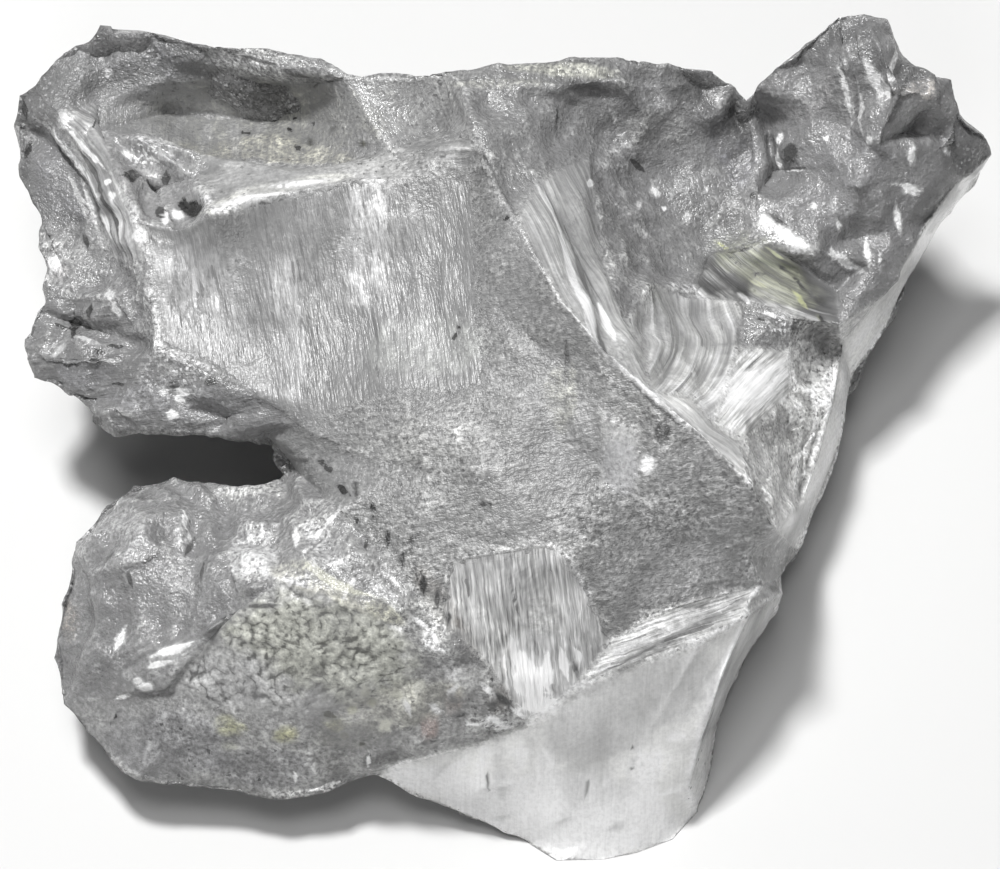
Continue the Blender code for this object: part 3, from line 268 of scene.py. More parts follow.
            "cheek7 corner1 cobble4 cobble5", "corner1 corner2 edge4 cobble4", "corner2 tip1 edge4",
            "seam2 seam3 tip1 corner2 corner1", "seam1 seam2 corner1 cheek7"],
        "wedge": ["rim68 rim67 rim66 rim65 wedge1 seam3 seam2 seam1", "wedge1 wedge2 tip1 seam3",
            "wedge2 wedge3 shelf0 tip1", "wedge3 shelf4 shelf0", "wedge3 keel2 keel1 shelf5 shelf4",
            "wedge4 keel3 keel2 wedge3", "wedge5 wedge4 wedge3 wedge2",
            "rim65 rim64 rim63 wedge5 wedge2 wedge1", "rim63 rim62 rim61 rim60 wedge4 wedge5",
            "rim60 rim59 rim58 keel3 wedge4"],
        "keel": ["keel1 rim55 rim54 rim53 shelf5", "keel2 rim56 rim55 keel1",
            "keel3 rim58 rim57 rim56 keel2"],
        "flank": ["rim01 rim02 rim03 belly2 belly1", "rim03 rim04 rim05 rim06 belly3 belly2",
            "rim06 rim07 rim08 rim09 belly3", "rim09 rim10 rim11 belly4 belly3",
            "rim11 rim12 rim13 belly5 belly4", "rim13 rim14 rim15 rim16 belly5",
            "rim16 rim17 rim18 belly6 belly5", "rim18 rim19 rim20 belly7 belly6",
            "rim20 rim21 rim22 rim23 belly8 belly7", "rim23 rim24 rim25 belly8",
            "rim25 rim26 rim27 belly9 belly8", "rim27 rim28 rim29 belly10 belly9",
            "rim29 rim30 rim31 belly10", "rim31 rim32 rim33 rim34 belly11 belly10",
            "rim34 rim35 rim36 rim37 belly11", "rim37 rim38 rim39 belly12 belly11",
            "rim39 rim40 rim41 rim42 belly12", "rim42 rim43 rim44 belly12",
            "rim44 rim45 rim46 belly13 belly12", "rim46 rim47 rim48 belly13",
            "rim48 rim49 rim50 belly14 belly13", "rim50 rim51 rim52 belly14",
            "rim52 rim53 rim54 base8 base7 belly14", "rim54 rim55 rim56 base8", "rim56 rim57 rim58 base8",
            "rim63 rim64 rim65 rim66 base1", "rim66 rim67 rim68 belly15 base1", "rim68 rim69 rim70 belly15",
            "rim70 rim71 rim72 belly16 belly15", "rim72 rim73 rim74 belly16",
            "rim74 rim75 rim76 belly17 belly16", "rim76 rim77 rim78 belly17",
            "rim78 rim79 rim80 belly18 belly17", "rim80 rim81 rim82 belly19 belly18",
            "rim82 rim83 rim84 belly19", "rim84 rim85 rim86 belly20 belly19",
            "rim86 rim87 rim01 belly1 belly20"],
        "under": ["belly1 belly2 hollow1 base3", "belly2 belly3 hollow1", "belly3 belly4 hollow1",
            "belly4 belly5 hollow1", "belly5 belly6 hollow1", "belly6 belly7 hollow1",
            "belly7 belly8 base4 base3 hollow1", "belly8 belly9 base5 base4", "belly9 belly10 base5",
            "belly10 belly11 hollow2", "belly10 hollow2 base6 base5", "belly11 belly12 hollow2",
            "belly12 belly13 base6 hollow2", "belly13 belly14 base7 base6", "belly15 belly16 hollow3",
            "belly16 belly17 hollow3", "belly17 belly18 hollow3", "belly18 belly19 hollow3",
            "belly19 belly20 base2 hollow3", "belly15 hollow3 base2 base1", "belly20 belly1 base3 base2"],
        "base": ["base1 base2 base3 base4 base5 base6 base7 base8 rim58 rim59 rim60 rim61 rim62 rim63"],
    },
    # how each kind of surface differs; the first three are in millimetres. Tones and milk are set to how each
    # kind looks under the light, so some paint light: the dark tones of the band and the head are partly
    # painted dark refraction at the rims, the pale, fully milky wedge and keel partly paint the light seen
    # through and reflected inside the clear glass, and the highlight facet is painted white as a highlight
    "columns": ("swell", "lump", "scoop", "frost", "milk", "tone", "grain", "sparkle"),
    "surfaces": {
        "band": (0.5, 0.5, 0.9, 0.5, 0.78, 0.06, 1.1, 0.14),
        "ledge": (0.3, 0.4, 0.4, 0.35, 0.65, 0.5, 0.8, 0.08),
        "bowl": (-0.5, 0.35, 0.3, 0.6, 0.68, 0.18, 0.95, 0.05),
        "lip": (0.35, 0.2, 0.15, 0.7, 0.8, 0.42, 0.4, 0.02),
        "rib": (0.5, 0.3, 0.5, 0.3, 0.6, 0.62, 0.7, 0.05),
        "pocket": (-0.8, 0.4, 0.8, 0.2, 0.55, 0.43, 0.7, 0.08),
        "side": (0.4, 0.3, 0.7, 0.45, 0.72, 0.09, 1.0, 0.07),
        "saddle": (-0.3, 0.3, 0.2, 0.3, 0.7, 0.28, 0.7, 0.03),
        "cream": (0.2, 0.3, 0.3, 0.45, 0.8, 0.17, 0.8, 0.04),
        "striae": (-0.25, 0.18, 0, 0.65, 0.76, 0.155, 0.6, 0.03),
        "crest": (0.2, 0.3, 0.2, 0.7, 0.75, 0.24, 0.8, 0.03),
        "arm": (-0.5, 0.4, 1, 0.4, 0.62, 0.25, 1.0, 0.08),
        "chunk": (0.5, 0.4, 1, 0.4, 0.66, 0.13, 1.0, 0.08),
        "plateau": (0.3, 0.22, 0.15, 0.75, 0.8, 0.21, 0.9, 0.045),
        "pane": (0.1, 0.05, 0, 0.2, 0.6, 0.75, 0.3, 0.01),
        "window": (0.2, 0.08, 0, 0.45, 0.68, 0.72, 0.55, 0.02),
        "light": (0.25, 0.12, 0.15, 0.3, 0.8, 1, 0.55, 0.04),
        "lump": (0.8, 0.3, 0.3, 0.2, 0.75, 0.9, 0.4, 0.02),
        "valley": (-0.55, 0.4, 0.8, 0.42, 0.64, 0.215, 0.9, 0.05),
        "blade": (0.45, 0.15, 0, 0.2, 0.62, 0.62, 0.5, 0.01),
        "terrace": (0, 0.1, 0, 0.95, 0.85, 0.08, 0.5, 0),
        "conchoid": (-0.8, 0.3, 0.2, 0.3, 0.65, 0.88, 0.35, 0.03),
        # a facet painted white as a highlight
        "bright": (0.35, 0.3, 0.2, 0.2, 0.92, 1, 0.45, 0.04),
        "border": (0.5, 0.4, 0.8, 0.25, 0.62, 0.28, 0.9, 0.15),
        "margin": (0.3, 0.2, 0.2, 0.25, 0.9, 0.85, 0.35, 0.02),
        "chip": (-0.4, 0.4, 0.7, 0.35, 0.9, 1, 0.4, 0.06),
        "streak": (0.3, 0.15, 0, 0.2, 0.8, 0.95, 0.35, 0.02),
        "edge": (0.15, 0.08, 0, 0.15, 1, 1, 0.14, 0),
        "head": (0.4, 0.4, 1.0, 0.4, 0.58, 0.1, 0.9, 0.07),
        "white": (0.25, 0.15, 0.2, 0.25, 0.75, 0.31, 0.4, 0.06),
        "lobe": (0.75, 0.35, 1, 0.38, 0.55, 0.25, 0.85, 0.06),
        "oval": (0.8, 0.2, 0.1, 0.35, 0.8, 0.42, 0.5, 0.04),
        "steps": (0.2, 0.5, 0.9, 0.2, 0.55, 0.28, 0.55, 0.09),
        "cobble": (0.3, 0.2, 0, 0.6, 0.92, 0.4, 0.28, 0),
        "sole": (0.35, 0.2, 0.25, 0.4, 0.85, 0.33, 0.4, 0.01),
        "wedge": (0.08, 0.05, 0, 0.1, 1, 0.9, 0.1, 0),
        "keel": (0.08, 0.06, 0, 0.1, 1, 1, 0.14, 0.01),
        "flank": (0.6, 0.6, 1.1, 0.25, 0.85, 0.09, 1.2, 0.12),
        "under": (0.5, 0.6, 1.1, 0.3, 0.8, 0.08, 0.7, 0.03),
        "base": (0, 0, 0, 0.45, 0.8, 0.28, 0.3, 0),
    },
    # lines on a kind of surface: (direction as sighted in degrees, width, length, depth, share of the tone,
    # share of fine lines)
    "lines": {
        "striae": (99, 0.42, 3.2, 0.1, 0.16, 0.8),
        "rib": (-61, 0.42, 9, 0.4, 0.9, 0.8),
        "window": (96, 0.5, 6, 0.06, 0.16, 1.5),
        "light": (18, 0.6, 8, 0.08, 0.2, 0.7),
        "blade": (-63, 0.6, 16, 0.16, 0.3, 0.8),
        "margin": (-38, 0.5, 14, 0.14, 0.25, 0.8),
        "bright": (46, 0.42, 6, 0.2, 0.8, 1.0),
        "conchoid": (86, 0.42, 7, 0.16, 0.7, 0.8),
        "terrace": (-34, 0.6, 8, 0.18, 0.9, 1.2),
        "plateau": (9, 0.4, 1.8, 0.07, 0.1, 0.4),
        "crest": (5, 0.5, 3, 0.1, 0.2, 0.6),
        "chunk": (6, 0.7, 4, 0.2, 0.25, 0.5),
        "arm": (70, 0.8, 3, 0.15, 0.2, 0.3),
        "wedge": (88, 0.9, 6, 0.012, 0.06, 0.5),
        "keel": (70, 0.6, 10, 0.06, 0.12, 0.6),
        "edge": (58, 0.7, 12, 0.05, 0.12, 0.35),
        "lip": (8, 0.5, 6, 0.06, 0.1, 0.4),
        "steps": (30, 0.9, 6, 0.4, 0.4, 0.4),
        "head": (97, 1.3, 8, 0.2, 0.3, 0.25),
        "saddle": (-70, 0.9, 6, 0.1, 0.2, 0.4),
        "valley": (-70, 1.3, 7, 0.12, 0.15, 0.25),
        "lobe": (72, 1.2, 5, 0.1, 0.15, 0.2),
        "oval": (88, 0.5, 4, 0.05, 0.1, 0.3),
        "pocket": (86, 0.6, 2.4, 0.15, 0.5, 0.5),
        "side": (55, 1.2, 8, 0.08, 0.2, 0.2),
        "bowl": (84, 0.7, 3, 0.05, 0.15, 0.4),
        "cream": (80, 0.5, 2, 0.05, 0.25, 0.5),
    },
    # where those lines bend: (across and up the middle of the bend, 1 / radius in millimetres)
    "bends": {
        "rib": (-32.4, 19.6, 0.065),
        "conchoid": (17.2, 7.4, -0.21),
        "bright": (20.0, 4.0, 0.03),
        "terrace": (21.0, 13.0, -0.06),
        "blade": (5.0, 14.0, -0.012),
    },
    "lineStretch": 2.2,  # fine lines are this times a furrow's length longer than wide
    # places that glitter more: (across, up, half width, half height, added sparkle)
    "glitter": {
        "faceWest": (-24.5, 9.5, 4.6, 6.0, 0.13),
        "pocketSill": (-27.5, 22.6, 3.2, 1.6, 0.22),
        "terraceFoot": (22.0, 9.3, 5.5, 1.4, 0.18),
        "lobeWest": (-33.6, -11.0, 2.2, 6.0, 0.1),
        "lobeSteps": (-28.5, -18.5, 3.4, 2.2, 0.08),
        "cornerSouth": (-0.5, -22.0, 2.6, 1.6, 0.26),
        "armFoot": (-26.0, 3.0, 5.0, 1.3, 0.09),
        "faceTop": (-5.0, 21.0, 5.0, 2.0, 0.05),
        "ribTop": (-36.5, 26.0, 1.6, 2.6, 0.05),
        "ridgeKnob": (20.4, -10.4, 1.6, 2.4, 0.16),
    },
    # patches of another tone, laid over one another in this order: (across, up, half width, half height,
    # turn in degrees, colour, share); many are painted light: white glints, highlights and reflections,
    # near-black dark refraction along the rims and strips of painted shade, as the headings say
    "patches": [
        # bowl; the pale patch at its east end is a painted gleam
        (-19.6, 25.3, 10, 2.9, 0, (0.2, 0.2, 0.165), 0.6),
        (-19, 22.8, 6.8, 0.96, -4, (0.42, 0.41, 0.33), 0.7), (-16.2, 23, 0.4, 0.4, 0, 0.03, 0.95),
        (-20, 24.2, 0.24, 0.24, 0, 0.03, 0.9), (-17, 22, 0.24, 0.24, 0, (0.04, 0.03, 0.03), 0.8),
        (-11, 23.3, 0.32, 0.32, 0, (0.04, 0.04, 0.03), 0.8), (-13.4, 24.5, 0.24, 0.24, 0, 0.03, 0.8),
        (-15.2, 23.6, 0.24, 0.4, 0, (0.05, 0.05, 0.04), 0.8),
        (-12.4, 26, 1.8, 1.3, -30, (0.42, 0.42, 0.4), 0.6),
        # rim: painted dark refraction along the north-west rim
        (-29.6, 30.4, 5.6, 1.8, -12, (0.14, 0.14, 0.15), 0.5),
        # side
        (-35, 19.7, 1.8, 3.4, 20, (0.1, 0.1, 0.11), 0.7), (-37.9, 21.2, 0.48, 1.1, 0, 0.05, 0.7),
        # rib: the white spot at its top is a painted glint, the dark streak beside the pale ones painted
        # shade
        (-35, 25.2, 0.64, 0.8, 0, 0.9, 0.9), (-33.2, 20.8, 0.32, 4, 32, (0.7, 0.7, 0.72), 0.7),
        (-31.2, 20, 0.32, 4, 32, (0.65, 0.65, 0.66), 0.6),
        (-32.2, 19.6, 0.32, 3.6, 32, (0.1, 0.1, 0.11), 0.6),
        # pocket
        (-29.5, 20.6, 0.9, 0.8, 0, 0.02, 0.95), (-25, 18.3, 1.2, 0.9, 0, 0.02, 0.95),
        (-26.7, 20.5, 0.5, 0.9, 0, 0.05, 0.9), (-27.8, 22.4, 2.8, 1.3, -14, 0.9, 0.75),
        (-25.8, 20.4, 1.4, 0.96, 0, 0.55, 0.5),
        # sparkle
        (-24.8, 10.8, 4.4, 5, 0, 0.5, 0.5), (-26.8, 14.1, 2.1, 1.1, 0, 0.6, 0.5),
        # striae
        (-17, 8.4, 1.4, 6, 3, 0.52, 0.6), (-18.6, 9.2, 0.48, 3.6, 3, 0.16, 0.6),
        (-10.6, 15.2, 2.1, 5, -3, 0.58, 0.65), (-7.4, 14.8, 0.72, 3.6, -3, 0.2, 0.7),
        (-5.6, 7.2, 4.8, 2.2, 0, (0.42, 0.43, 0.41), 0.6),
        # arm
        (-33.9, 9, 1, 0.64, 0, 0.05, 0.9), (-32.6, 6.3, 0.96, 0.4, 0, 0.09, 0.7),
        (-35.4, 13, 0.8, 0.64, 0, (0.85, 0.83, 0.82), 0.8),
        (-33.6, 4.8, 2.2, 1.1, 0, (0.13, 0.13, 0.14), 0.6),
        # skirt
        (-24.8, 2.8, 6.4, 1.4, -5, (0.15, 0.15, 0.16), 0.6),
        (-25.2, 3.7, 1.8, 0.64, 0, (0.6, 0.6, 0.61), 0.5),
        # lip: a pale band along it, partly its cream colour and partly a painted shine
        (-21.2, 18.4, 2.2, 0.56, 14, (0.72, 0.72, 0.7), 0.8),
        # crack
        (-1.2, 22.1, 0.2, 0.96, 18, 0.05, 0.9),
        # spot
        (0.6, 17.3, 0.32, 0.32, 0, 0.03, 0.95), (-3.4, 8.6, 0.24, 0.5, 0, 0.03, 0.92),
        (-3.3, 7.4, 0.3, 0.3, 0, 0.04, 0.92), (-1.3, -5.6, 0.4, 0.2, 0, 0.05, 0.8),
        # pit
        (-12.6, -4.4, 0.8, 0.42, -35, 0.02, 0.95), (-10.2, -6, 0.34, 1.1, -8, 0.02, 0.95),
        (-6.1, -12, 0.34, 1.2, -6, 0.03, 0.92), (-14.2, -2.2, 0.4, 0.32, 0, 0.04, 0.9),
        (-11.5, -4.4, 0.2, 0.96, 0, 0.04, 0.8), (-3.4, -14.8, 0.32, 0.96, 25, (0.1, 0.08, 0.07), 0.7),
        (-7.2, -8.8, 0.32, 0.96, 0, 0.08, 0.6),
        # edge: painted shade along it
        (-4.4, -14, 0.96, 4.4, 35, (0.17, 0.16, 0.15), 0.5),
        # plateau
        (-6.4, -0.4, 5.6, 1.6, 0, (0.36, 0.36, 0.35), 0.4), (15.2, -5.2, 4.8, 3.8, 20, 0.4, 0.3),
        # triangle
        (11.6, -11.6, 5.3, 2.9, 10, 0.26, 0.4),
        # glass
        (13, 0.2, 0.72, 0.72, 0, 0.05, 0.8),
        # pane: a painted glint, and grey beside it
        (11.8, -2.4, 0.72, 0.8, 0, 0.98, 0.95), (9.6, -2.4, 1.3, 2.7, 12, (0.5, 0.5, 0.52), 0.7),
        # column
        (5.6, 0.4, 2, 3.6, 5, 0.38, 0.5),
        # scratch
        (15.8, -8.3, 0.16, 1.4, 25, 0.75, 0.7),
        # window: its white is a painted highlight
        (2.2, -19.8, 1.5, 3.4, 6, 1, 0.98), (0, -13.2, 3.2, 3.6, 10, 0.45, 0.5),
        (6, -13.2, 1.4, 4.8, 20, 0.75, 0.55),
        # shelf
        (15.6, -14.6, 5.2, 1.1, 22, 0.8, 0.6), (12, -17.6, 10.2, 0.16, 29, 0.12, 0.7),
        # valley
        (12, 23.2, 6.8, 5, 0, (0.165, 0.165, 0.17), 0.6), (8.6, 24.2, 2.1, 2.1, 0, 0.36, 0.7),
        (12.8, 24.4, 2.4, 1.6, 0, (0.27, 0.27, 0.26), 0.5), (11, 21.6, 1.2, 0.3, -32, 0.05, 0.9),
        (6.4, 27.7, 1.2, 0.5, -10, 0.07, 0.7), (18.8, 22.8, 1.8, 2.8, 20, (0.12, 0.12, 0.14), 0.6),
        (20.2, 19, 0.32, 0.4, 0, 0.04, 0.9),
        # gleam
        (7.2, 20.1, 0.36, 0.36, 0, 0.95, 0.9), (12.8, 19.6, 0.4, 0.4, 0, 0.9, 0.9),
        (12.4, 20.5, 0.24, 0.24, 0, 0.9, 0.8),
        # cream
        (4.4, 29.2, 5, 0.56, -4, (0.52, 0.52, 0.46), 0.8), (0, 28, 4, 0.32, 0, (0.5, 0.5, 0.45), 0.5),
        # blade: two pale strips and, beside them, a dark strip of painted shade
        (5.7, 12.8, 0.34, 7.6, 17, 0.85, 0.9), (8.5, 9, 0.42, 2.4, 20, 1, 0.93),
        (6.6, 12.4, 0.24, 7.4, 17, 0.14, 0.88),
        # ridge
        (13.4, 2.4, 0.2, 7, 50, 0.8, 0.6),
        # ring
        (12.8, 9.2, 2.6, 1.6, -20, 0.56, 0.6), (12.4, 11.6, 0.8, 1.1, 0, (0.2, 0.2, 0.19), 0.5),
        (15, 11.4, 1.6, 0.8, -35, 0.72, 0.8), (16.4, 6.4, 2.7, 2.7, 0, (0.36, 0.36, 0.35), 0.4),
        # the fan on the highlight facet: a painted highlight
        (20, 3.7, 3.5, 1.9, 35, 1, 0.85),
        # terrace
        (21.2, 13.3, 4.6, 2, -30, (0.2, 0.206, 0.155), 0.7),
        (20.8, 13.8, 3.2, 0.24, -10, (0.08, 0.09, 0.06), 0.6),
        # border
        (22, 9.3, 5, 1, -18, (0.42, 0.42, 0.41), 0.6), (25, 8.8, 1.9, 0.8, -20, 0.14, 0.25),
        # chip
        (25.6, 6.8, 1.8, 1.4, 0, 0.4, 0.6), (21.6, 0.4, 1.8, 1.3, 0, 0.19, 0.6),
        (25.2, -0.4, 0.8, 0.32, 0, 0.85, 0.8), (23.2, 0.5, 0.56, 0.48, 0, 0.7, 0.7),
        # knob
        (20.6, -9, 0.72, 0.48, 0, 0.7, 0.7), (19, -9.6, 0.2, 1.3, 0, 0.1, 0.8),
        (21.2, -11.2, 1.2, 0.48, 0, 0.15, 0.5),
        # head: the near-black patches along its outer edge are painted dark refraction, the white streaks
        # painted reflections
        (24, 27.7, 2.9, 2.2, 10, (0.27, 0.26, 0.26), 0.6), (28.5, 32.4, 2.6, 1.4, 0, 0.04, 0.75),
        (34, 28.5, 3, 1.1, -28, 0.04, 0.75), (27.7, 27.4, 0.26, 2.7, 9, 0.92, 0.9),
        (29.8, 28.5, 0.5, 2.1, 12, 0.95, 0.9), (31.4, 29.5, 0.24, 2.2, -4, 0.95, 0.9),
        (27, 28, 0.32, 2.1, -8, 0.1, 0.6), (33.2, 27.5, 1.6, 0.64, 0, (0.34, 0.31, 0.28), 0.7),
        (37.4, 22.8, 1.9, 2.4, -20, 0.03, 0.75), (28, 22, 3.2, 2, 0, (0.16, 0.16, 0.17), 0.5),
        (26.4, 18.4, 2.7, 1.8, 0, (0.17, 0.17, 0.18), 0.5),
        # gleam
        (32.8, 22.4, 0.5, 0.8, 0, 1, 0.95), (32.8, 19.6, 0.8, 0.5, 0, 1, 0.95),
        (31.8, 17.3, 0.34, 1.5, 6, 0.95, 0.9), (27, 16.8, 0.32, 0.6, 0, 0.98, 0.92),
        (22.6, 23.7, 0.42, 0.55, 0, 1, 0.92), (22.6, 22, 0.34, 0.9, 0, 0.95, 0.9),
        (36.1, 22.6, 0.32, 0.32, 0, 0.8, 0.8), (25, 18, 0.24, 0.24, 0, 0.9, 0.8),
        # head
        (23.7, 22.5, 0.8, 1.1, 0, 0.07, 0.88),
        # white
        (23.2, 15.7, 2.4, 0.62, -28, 1, 0.97), (27.6, 13.8, 1.7, 0.5, -26, 1, 0.95),
        (29.4, 14.6, 0.3, 1.4, 4, 1, 0.93),
        # head
        (30.7, 13.2, 0.4, 1.8, -5, 0.14, 0.6),
        # lobe: its white splinters are painted reflections
        (-25.3, -7, 0.3, 1.2, 0, 1, 0.93), (-31.2, -14.2, 0.9, 1.6, -10, 0.09, 0.7),
        (-30.2, -16.4, 0.5, 1.1, -18, 0.98, 0.92), (-26, -17.1, 2.3, 0.4, 20, 1, 0.94),
        (-28.8, -19.5, 0.5, 0.3, 20, 0.9, 0.88), (-27.2, -18.8, 0.96, 0.32, 25, 0.7, 0.7),
        (-13.6, -8.4, 2.2, 2.7, 0, (0.58, 0.58, 0.57), 0.6),
        (-6.4, -15.2, 3.2, 2.2, -45, (0.62, 0.62, 0.6), 0.6), (-29.2, -4.8, 2.1, 0.56, 14, 0.12, 0.6),
        (-24.8, -4.4, 1.8, 0.56, 0, 0.5, 0.6), (-20.4, -4.6, 3.2, 0.64, 4, (0.72, 0.72, 0.7), 0.75),
        (-20.4, -6.8, 2.7, 1.1, 0, (0.24, 0.24, 0.245), 0.5), (-16.2, -4.4, 0.56, 0.72, 0, 0.16, 0.6),
        # cream
        (-13.4, -11.9, 3.8, 0.48, -18, (0.6, 0.6, 0.52), 0.85),
        # green
        (-9.2, -13.8, 2.1, 0.64, -25, (0.4, 0.41, 0.28), 0.8),
        # cobble
        (-14, -16.8, 8, 3.7, -12, (0.36, 0.365, 0.32), 0.75), (-22.4, -19.6, 4.8, 2.2, 10, 0.33, 0.6),
        # lobe
        (-5.6, -23.2, 0.72, 0.96, 10, (0.26, 0.13, 0.1), 0.4),
        (-3.8, -21.2, 0.8, 1.1, 0, (0.28, 0.22, 0.19), 0.5),
        (-34.6, -14.8, 0.64, 1.6, 0, (0.3, 0.22, 0.13), 0.4),
        # green
        (-21.9, -23, 0.8, 0.64, 0, (0.42, 0.42, 0.22), 0.45),
        (-17.1, -23.7, 1, 0.64, 10, (0.46, 0.46, 0.25), 0.5),
        (-13, -22.7, 0.8, 0.4, 0, (0.4, 0.41, 0.24), 0.45),
        (-21.6, -24.8, 0.72, 0.4, 0, (0.34, 0.35, 0.22), 0.35),
        # pale
        (-8, -21.6, 4.6, 1.6, 10, (0.46, 0.455, 0.4), 0.6),
        (-12, -24, 2.6, 1.2, 5, (0.36, 0.36, 0.33), 0.5),
        # sole
        (-26.4, -24.8, 5, 2.9, 0, (0.215, 0.215, 0.22), 0.7),
        (-19.2, -26.8, 4.8, 1.6, 0, (0.215, 0.215, 0.22), 0.6), (-16.3, -27.3, 0.2, 0.96, 5, 0.9, 0.9),
        (-10.5, -26, 0.2, 0.96, 5, 0.85, 0.85), (-30.6, -22.4, 0.24, 0.8, -32, 0.03, 0.9),
        # seam
        (-9.2, -25.9, 2.1, 0.48, 8, 0.13, 0.6), (0, -21.2, 0.96, 1.4, -30, (0.2, 0.19, 0.18), 0.5),
        (0, -23, 1.4, 0.48, 0, 0.72, 0.7),
        # wedge: its pale patches paint the light seen through the clear glass
        (4.8, -30.4, 9.6, 3.4, -4, 1, 0.8), (10.4, -21.8, 8.4, 3, 24, 0.6, 0.7),
        (-4, -28, 4.8, 1.3, -12, 1, 0.75), (10.6, -26.4, 0.14, 0.8, -25, 0.1, 0.7),
        (9.4, -31.3, 0.28, 0.32, 0, 0.25, 0.7), (8.2, -26.4, 0.6, 4, 2, 0.5, 0.5),
        (3.8, -28.4, 1.1, 3.2, 4, 1, 0.7),
        # keel
        (17.2, -21, 0.7, 4.8, -18, 1, 0.7),
        # ridge
        (12.3, 1.5, 0.14, 7, 50, 0.1, 0.6),
        # lobe: more white splinters, painted reflections
        (-27, -18.1, 1.5, 0.3, 20, 1, 0.93), (-28.2, -20, 0.8, 0.5, 18, 1, 0.92),
        (-30.2, -21, 0.7, 0.26, 20, 1, 0.92), (-31.8, -18.8, 0.3, 0.45, -30, 0.8, 0.8),
        # window: more white, painted highlights
        (3.8, -19, 0.6, 2.9, 4, 1, 0.97), (5.1, -18.4, 0.45, 2.4, 10, 1, 0.96),
        # cell
        (-11.8, -22, 0.55, 0.5, 10, (0.42, 0.42, 0.36), 0.86),
        (-10.2, -21.4, 0.5, 0.45, -10, (0.36, 0.36, 0.31), 0.86),
        (-8.2, -20.8, 0.6, 0.5, 5, (0.5, 0.5, 0.44), 0.86),
        (-12.4, -24.1, 0.6, 0.5, 0, (0.3, 0.3, 0.28), 0.86),
        (-6.4, -20, 0.5, 0.6, -20, (0.55, 0.55, 0.5), 0.86),
        (-11, -24.8, 0.35, 0.25, 0, (0.09, 0.09, 0.08), 0.86), (-7.2, -23.5, 0.7, 0.22, 12, 0.12, 0.86),
        (-3.8, -21.2, 0.55, 0.4, -30, 0.16, 0.86), (-2, -23, 1, 0.18, 8, 0.85, 0.9),
        (0.4, -23.4, 0.9, 0.22, 6, 0.95, 0.92), (-0.6, -21.7, 0.5, 0.5, 40, 0.1, 0.86),
        # rib: the white spot at its top is a painted glint
        (-35, 25.1, 0.5, 0.62, 0, 1, 0.95), (-34.1, 24, 0.25, 0.5, 35, 0.95, 0.9),
        (-32.2, 22, 0.3, 0.45, 30, 0.95, 0.9), (-31, 20.2, 0.3, 0.28, 0, 1, 0.92),
        (-30.5, 19.1, 0.28, 0.4, 20, 1, 0.92), (-33.6, 21.6, 0.28, 4.6, 37, 0.95, 0.9),
        (-31.8, 17.8, 0.26, 3.8, 18, 0.9, 0.9), (-34.4, 21.8, 0.24, 4, 38, 0.04, 0.9),
        (-31, 18.1, 0.24, 3.8, 18, 0.05, 0.88), (-32.8, 18.4, 0.24, 2.8, 16, 0.8, 0.88),
        (-32.2, 18.5, 0.24, 3, 14, 0.04, 0.9),
        # band
        (-31.4, 29, 0.5, 0.4, -20, 0.7, 0.88), (-32, 30.1, 0.2, 0.35, 0, 0.5, 0.86),
        (-33.8, 29.2, 0.22, 0.2, 0, 0.6, 0.86),
        # side
        (-34.5, 20.5, 0.2, 0.26, 0, 0.9, 0.9), (-37.8, 22.8, 0.4, 1.6, -15, 0.03, 0.86),
        (-38.1, 26, 0.45, 1.2, 10, 0.04, 0.86),
        # arm
        (-35.8, 13.8, 0.8, 0.75, 0, 0.95, 0.9), (-34, 8.7, 0.7, 0.6, 0, 0.03, 0.9),
        # skirt
        (-32.4, 6.1, 1.1, 0.28, 0, 0.04, 0.88), (-30.8, 7.2, 1, 0.2, 20, 0.06, 0.86),
        (-26, 4, 0.7, 0.5, 0, 0.05, 0.86), (-25.4, 3.4, 0.8, 0.5, 0, 0.8, 0.88),
        (-25.8, 1.7, 0.3, 0.3, 0, 1, 0.9), (-22.8, 4.5, 0.6, 0.45, 0, 0.05, 0.86),
        (-28, 10.8, 0.14, 0.9, 25, 0.05, 0.86),
        # rim
        (-13.8, -9.1, 2.4, 0.9, -52, 0.8, 0.7), (-9.2, -13.5, 3.2, 1, -47, 0.85, 0.75),
        (-4.8, -17.6, 2.4, 0.9, -50, 0.85, 0.75), (-14.6, -8, 0.9, 0.26, 52, 0.95, 0.9),
        (-11.8, -12, 0.26, 1.1, -38, 0.95, 0.9), (-6.4, -15, 0.26, 1.4, 50, 1, 0.92),
        (-8.6, -11.6, 0.22, 1.5, 48, 0.95, 0.88), (-15.2, -10, 0.26, 1, -20, 0.95, 0.88),
        # pit
        (-11.5, -6.8, 0.3, 0.8, -10, 0.03, 0.92), (-9, -8.3, 0.3, 1.1, -6, 0.03, 0.92),
        (-7.8, -10, 0.28, 1.2, -4, 0.04, 0.9), (-5, -13.2, 0.26, 1, -6, 0.05, 0.9),
        (-10.7, -8.8, 0.24, 1, -6, 0.06, 0.88), (-13.6, -2.8, 0.5, 0.34, -30, 0.04, 0.9),
        (-4.1, -14.7, 0.24, 1.1, -8, 0.06, 0.88), (-7, -8.4, 0.22, 1, 0, 0.08, 0.86),
        (-8.4, -5, 0.5, 0.22, -10, 0.06, 0.86), (-5.6, -7.5, 0.6, 0.22, 5, 0.07, 0.86),
        (-0.8, -5.6, 0.5, 0.24, 5, 0.05, 0.88), (-3.6, -8.8, 0.5, 0.2, 8, 0.07, 0.86),
        # spot
        (-3.9, 7.9, 0.22, 0.26, 0, 0.06, 0.88),
        # head: more near-black patches, those by its edge painted dark refraction, and a white streak, a
        # painted reflection
        (24, 28.8, 2.6, 0.9, 38, 0.06, 0.7), (34.8, 18.8, 1.6, 2.6, -30, 0.06, 0.6),
        (27.8, 27.2, 0.5, 2.9, 6, 0.5, 0.7), (30.6, 27.7, 0.3, 1.2, 6, 0.95, 0.88),
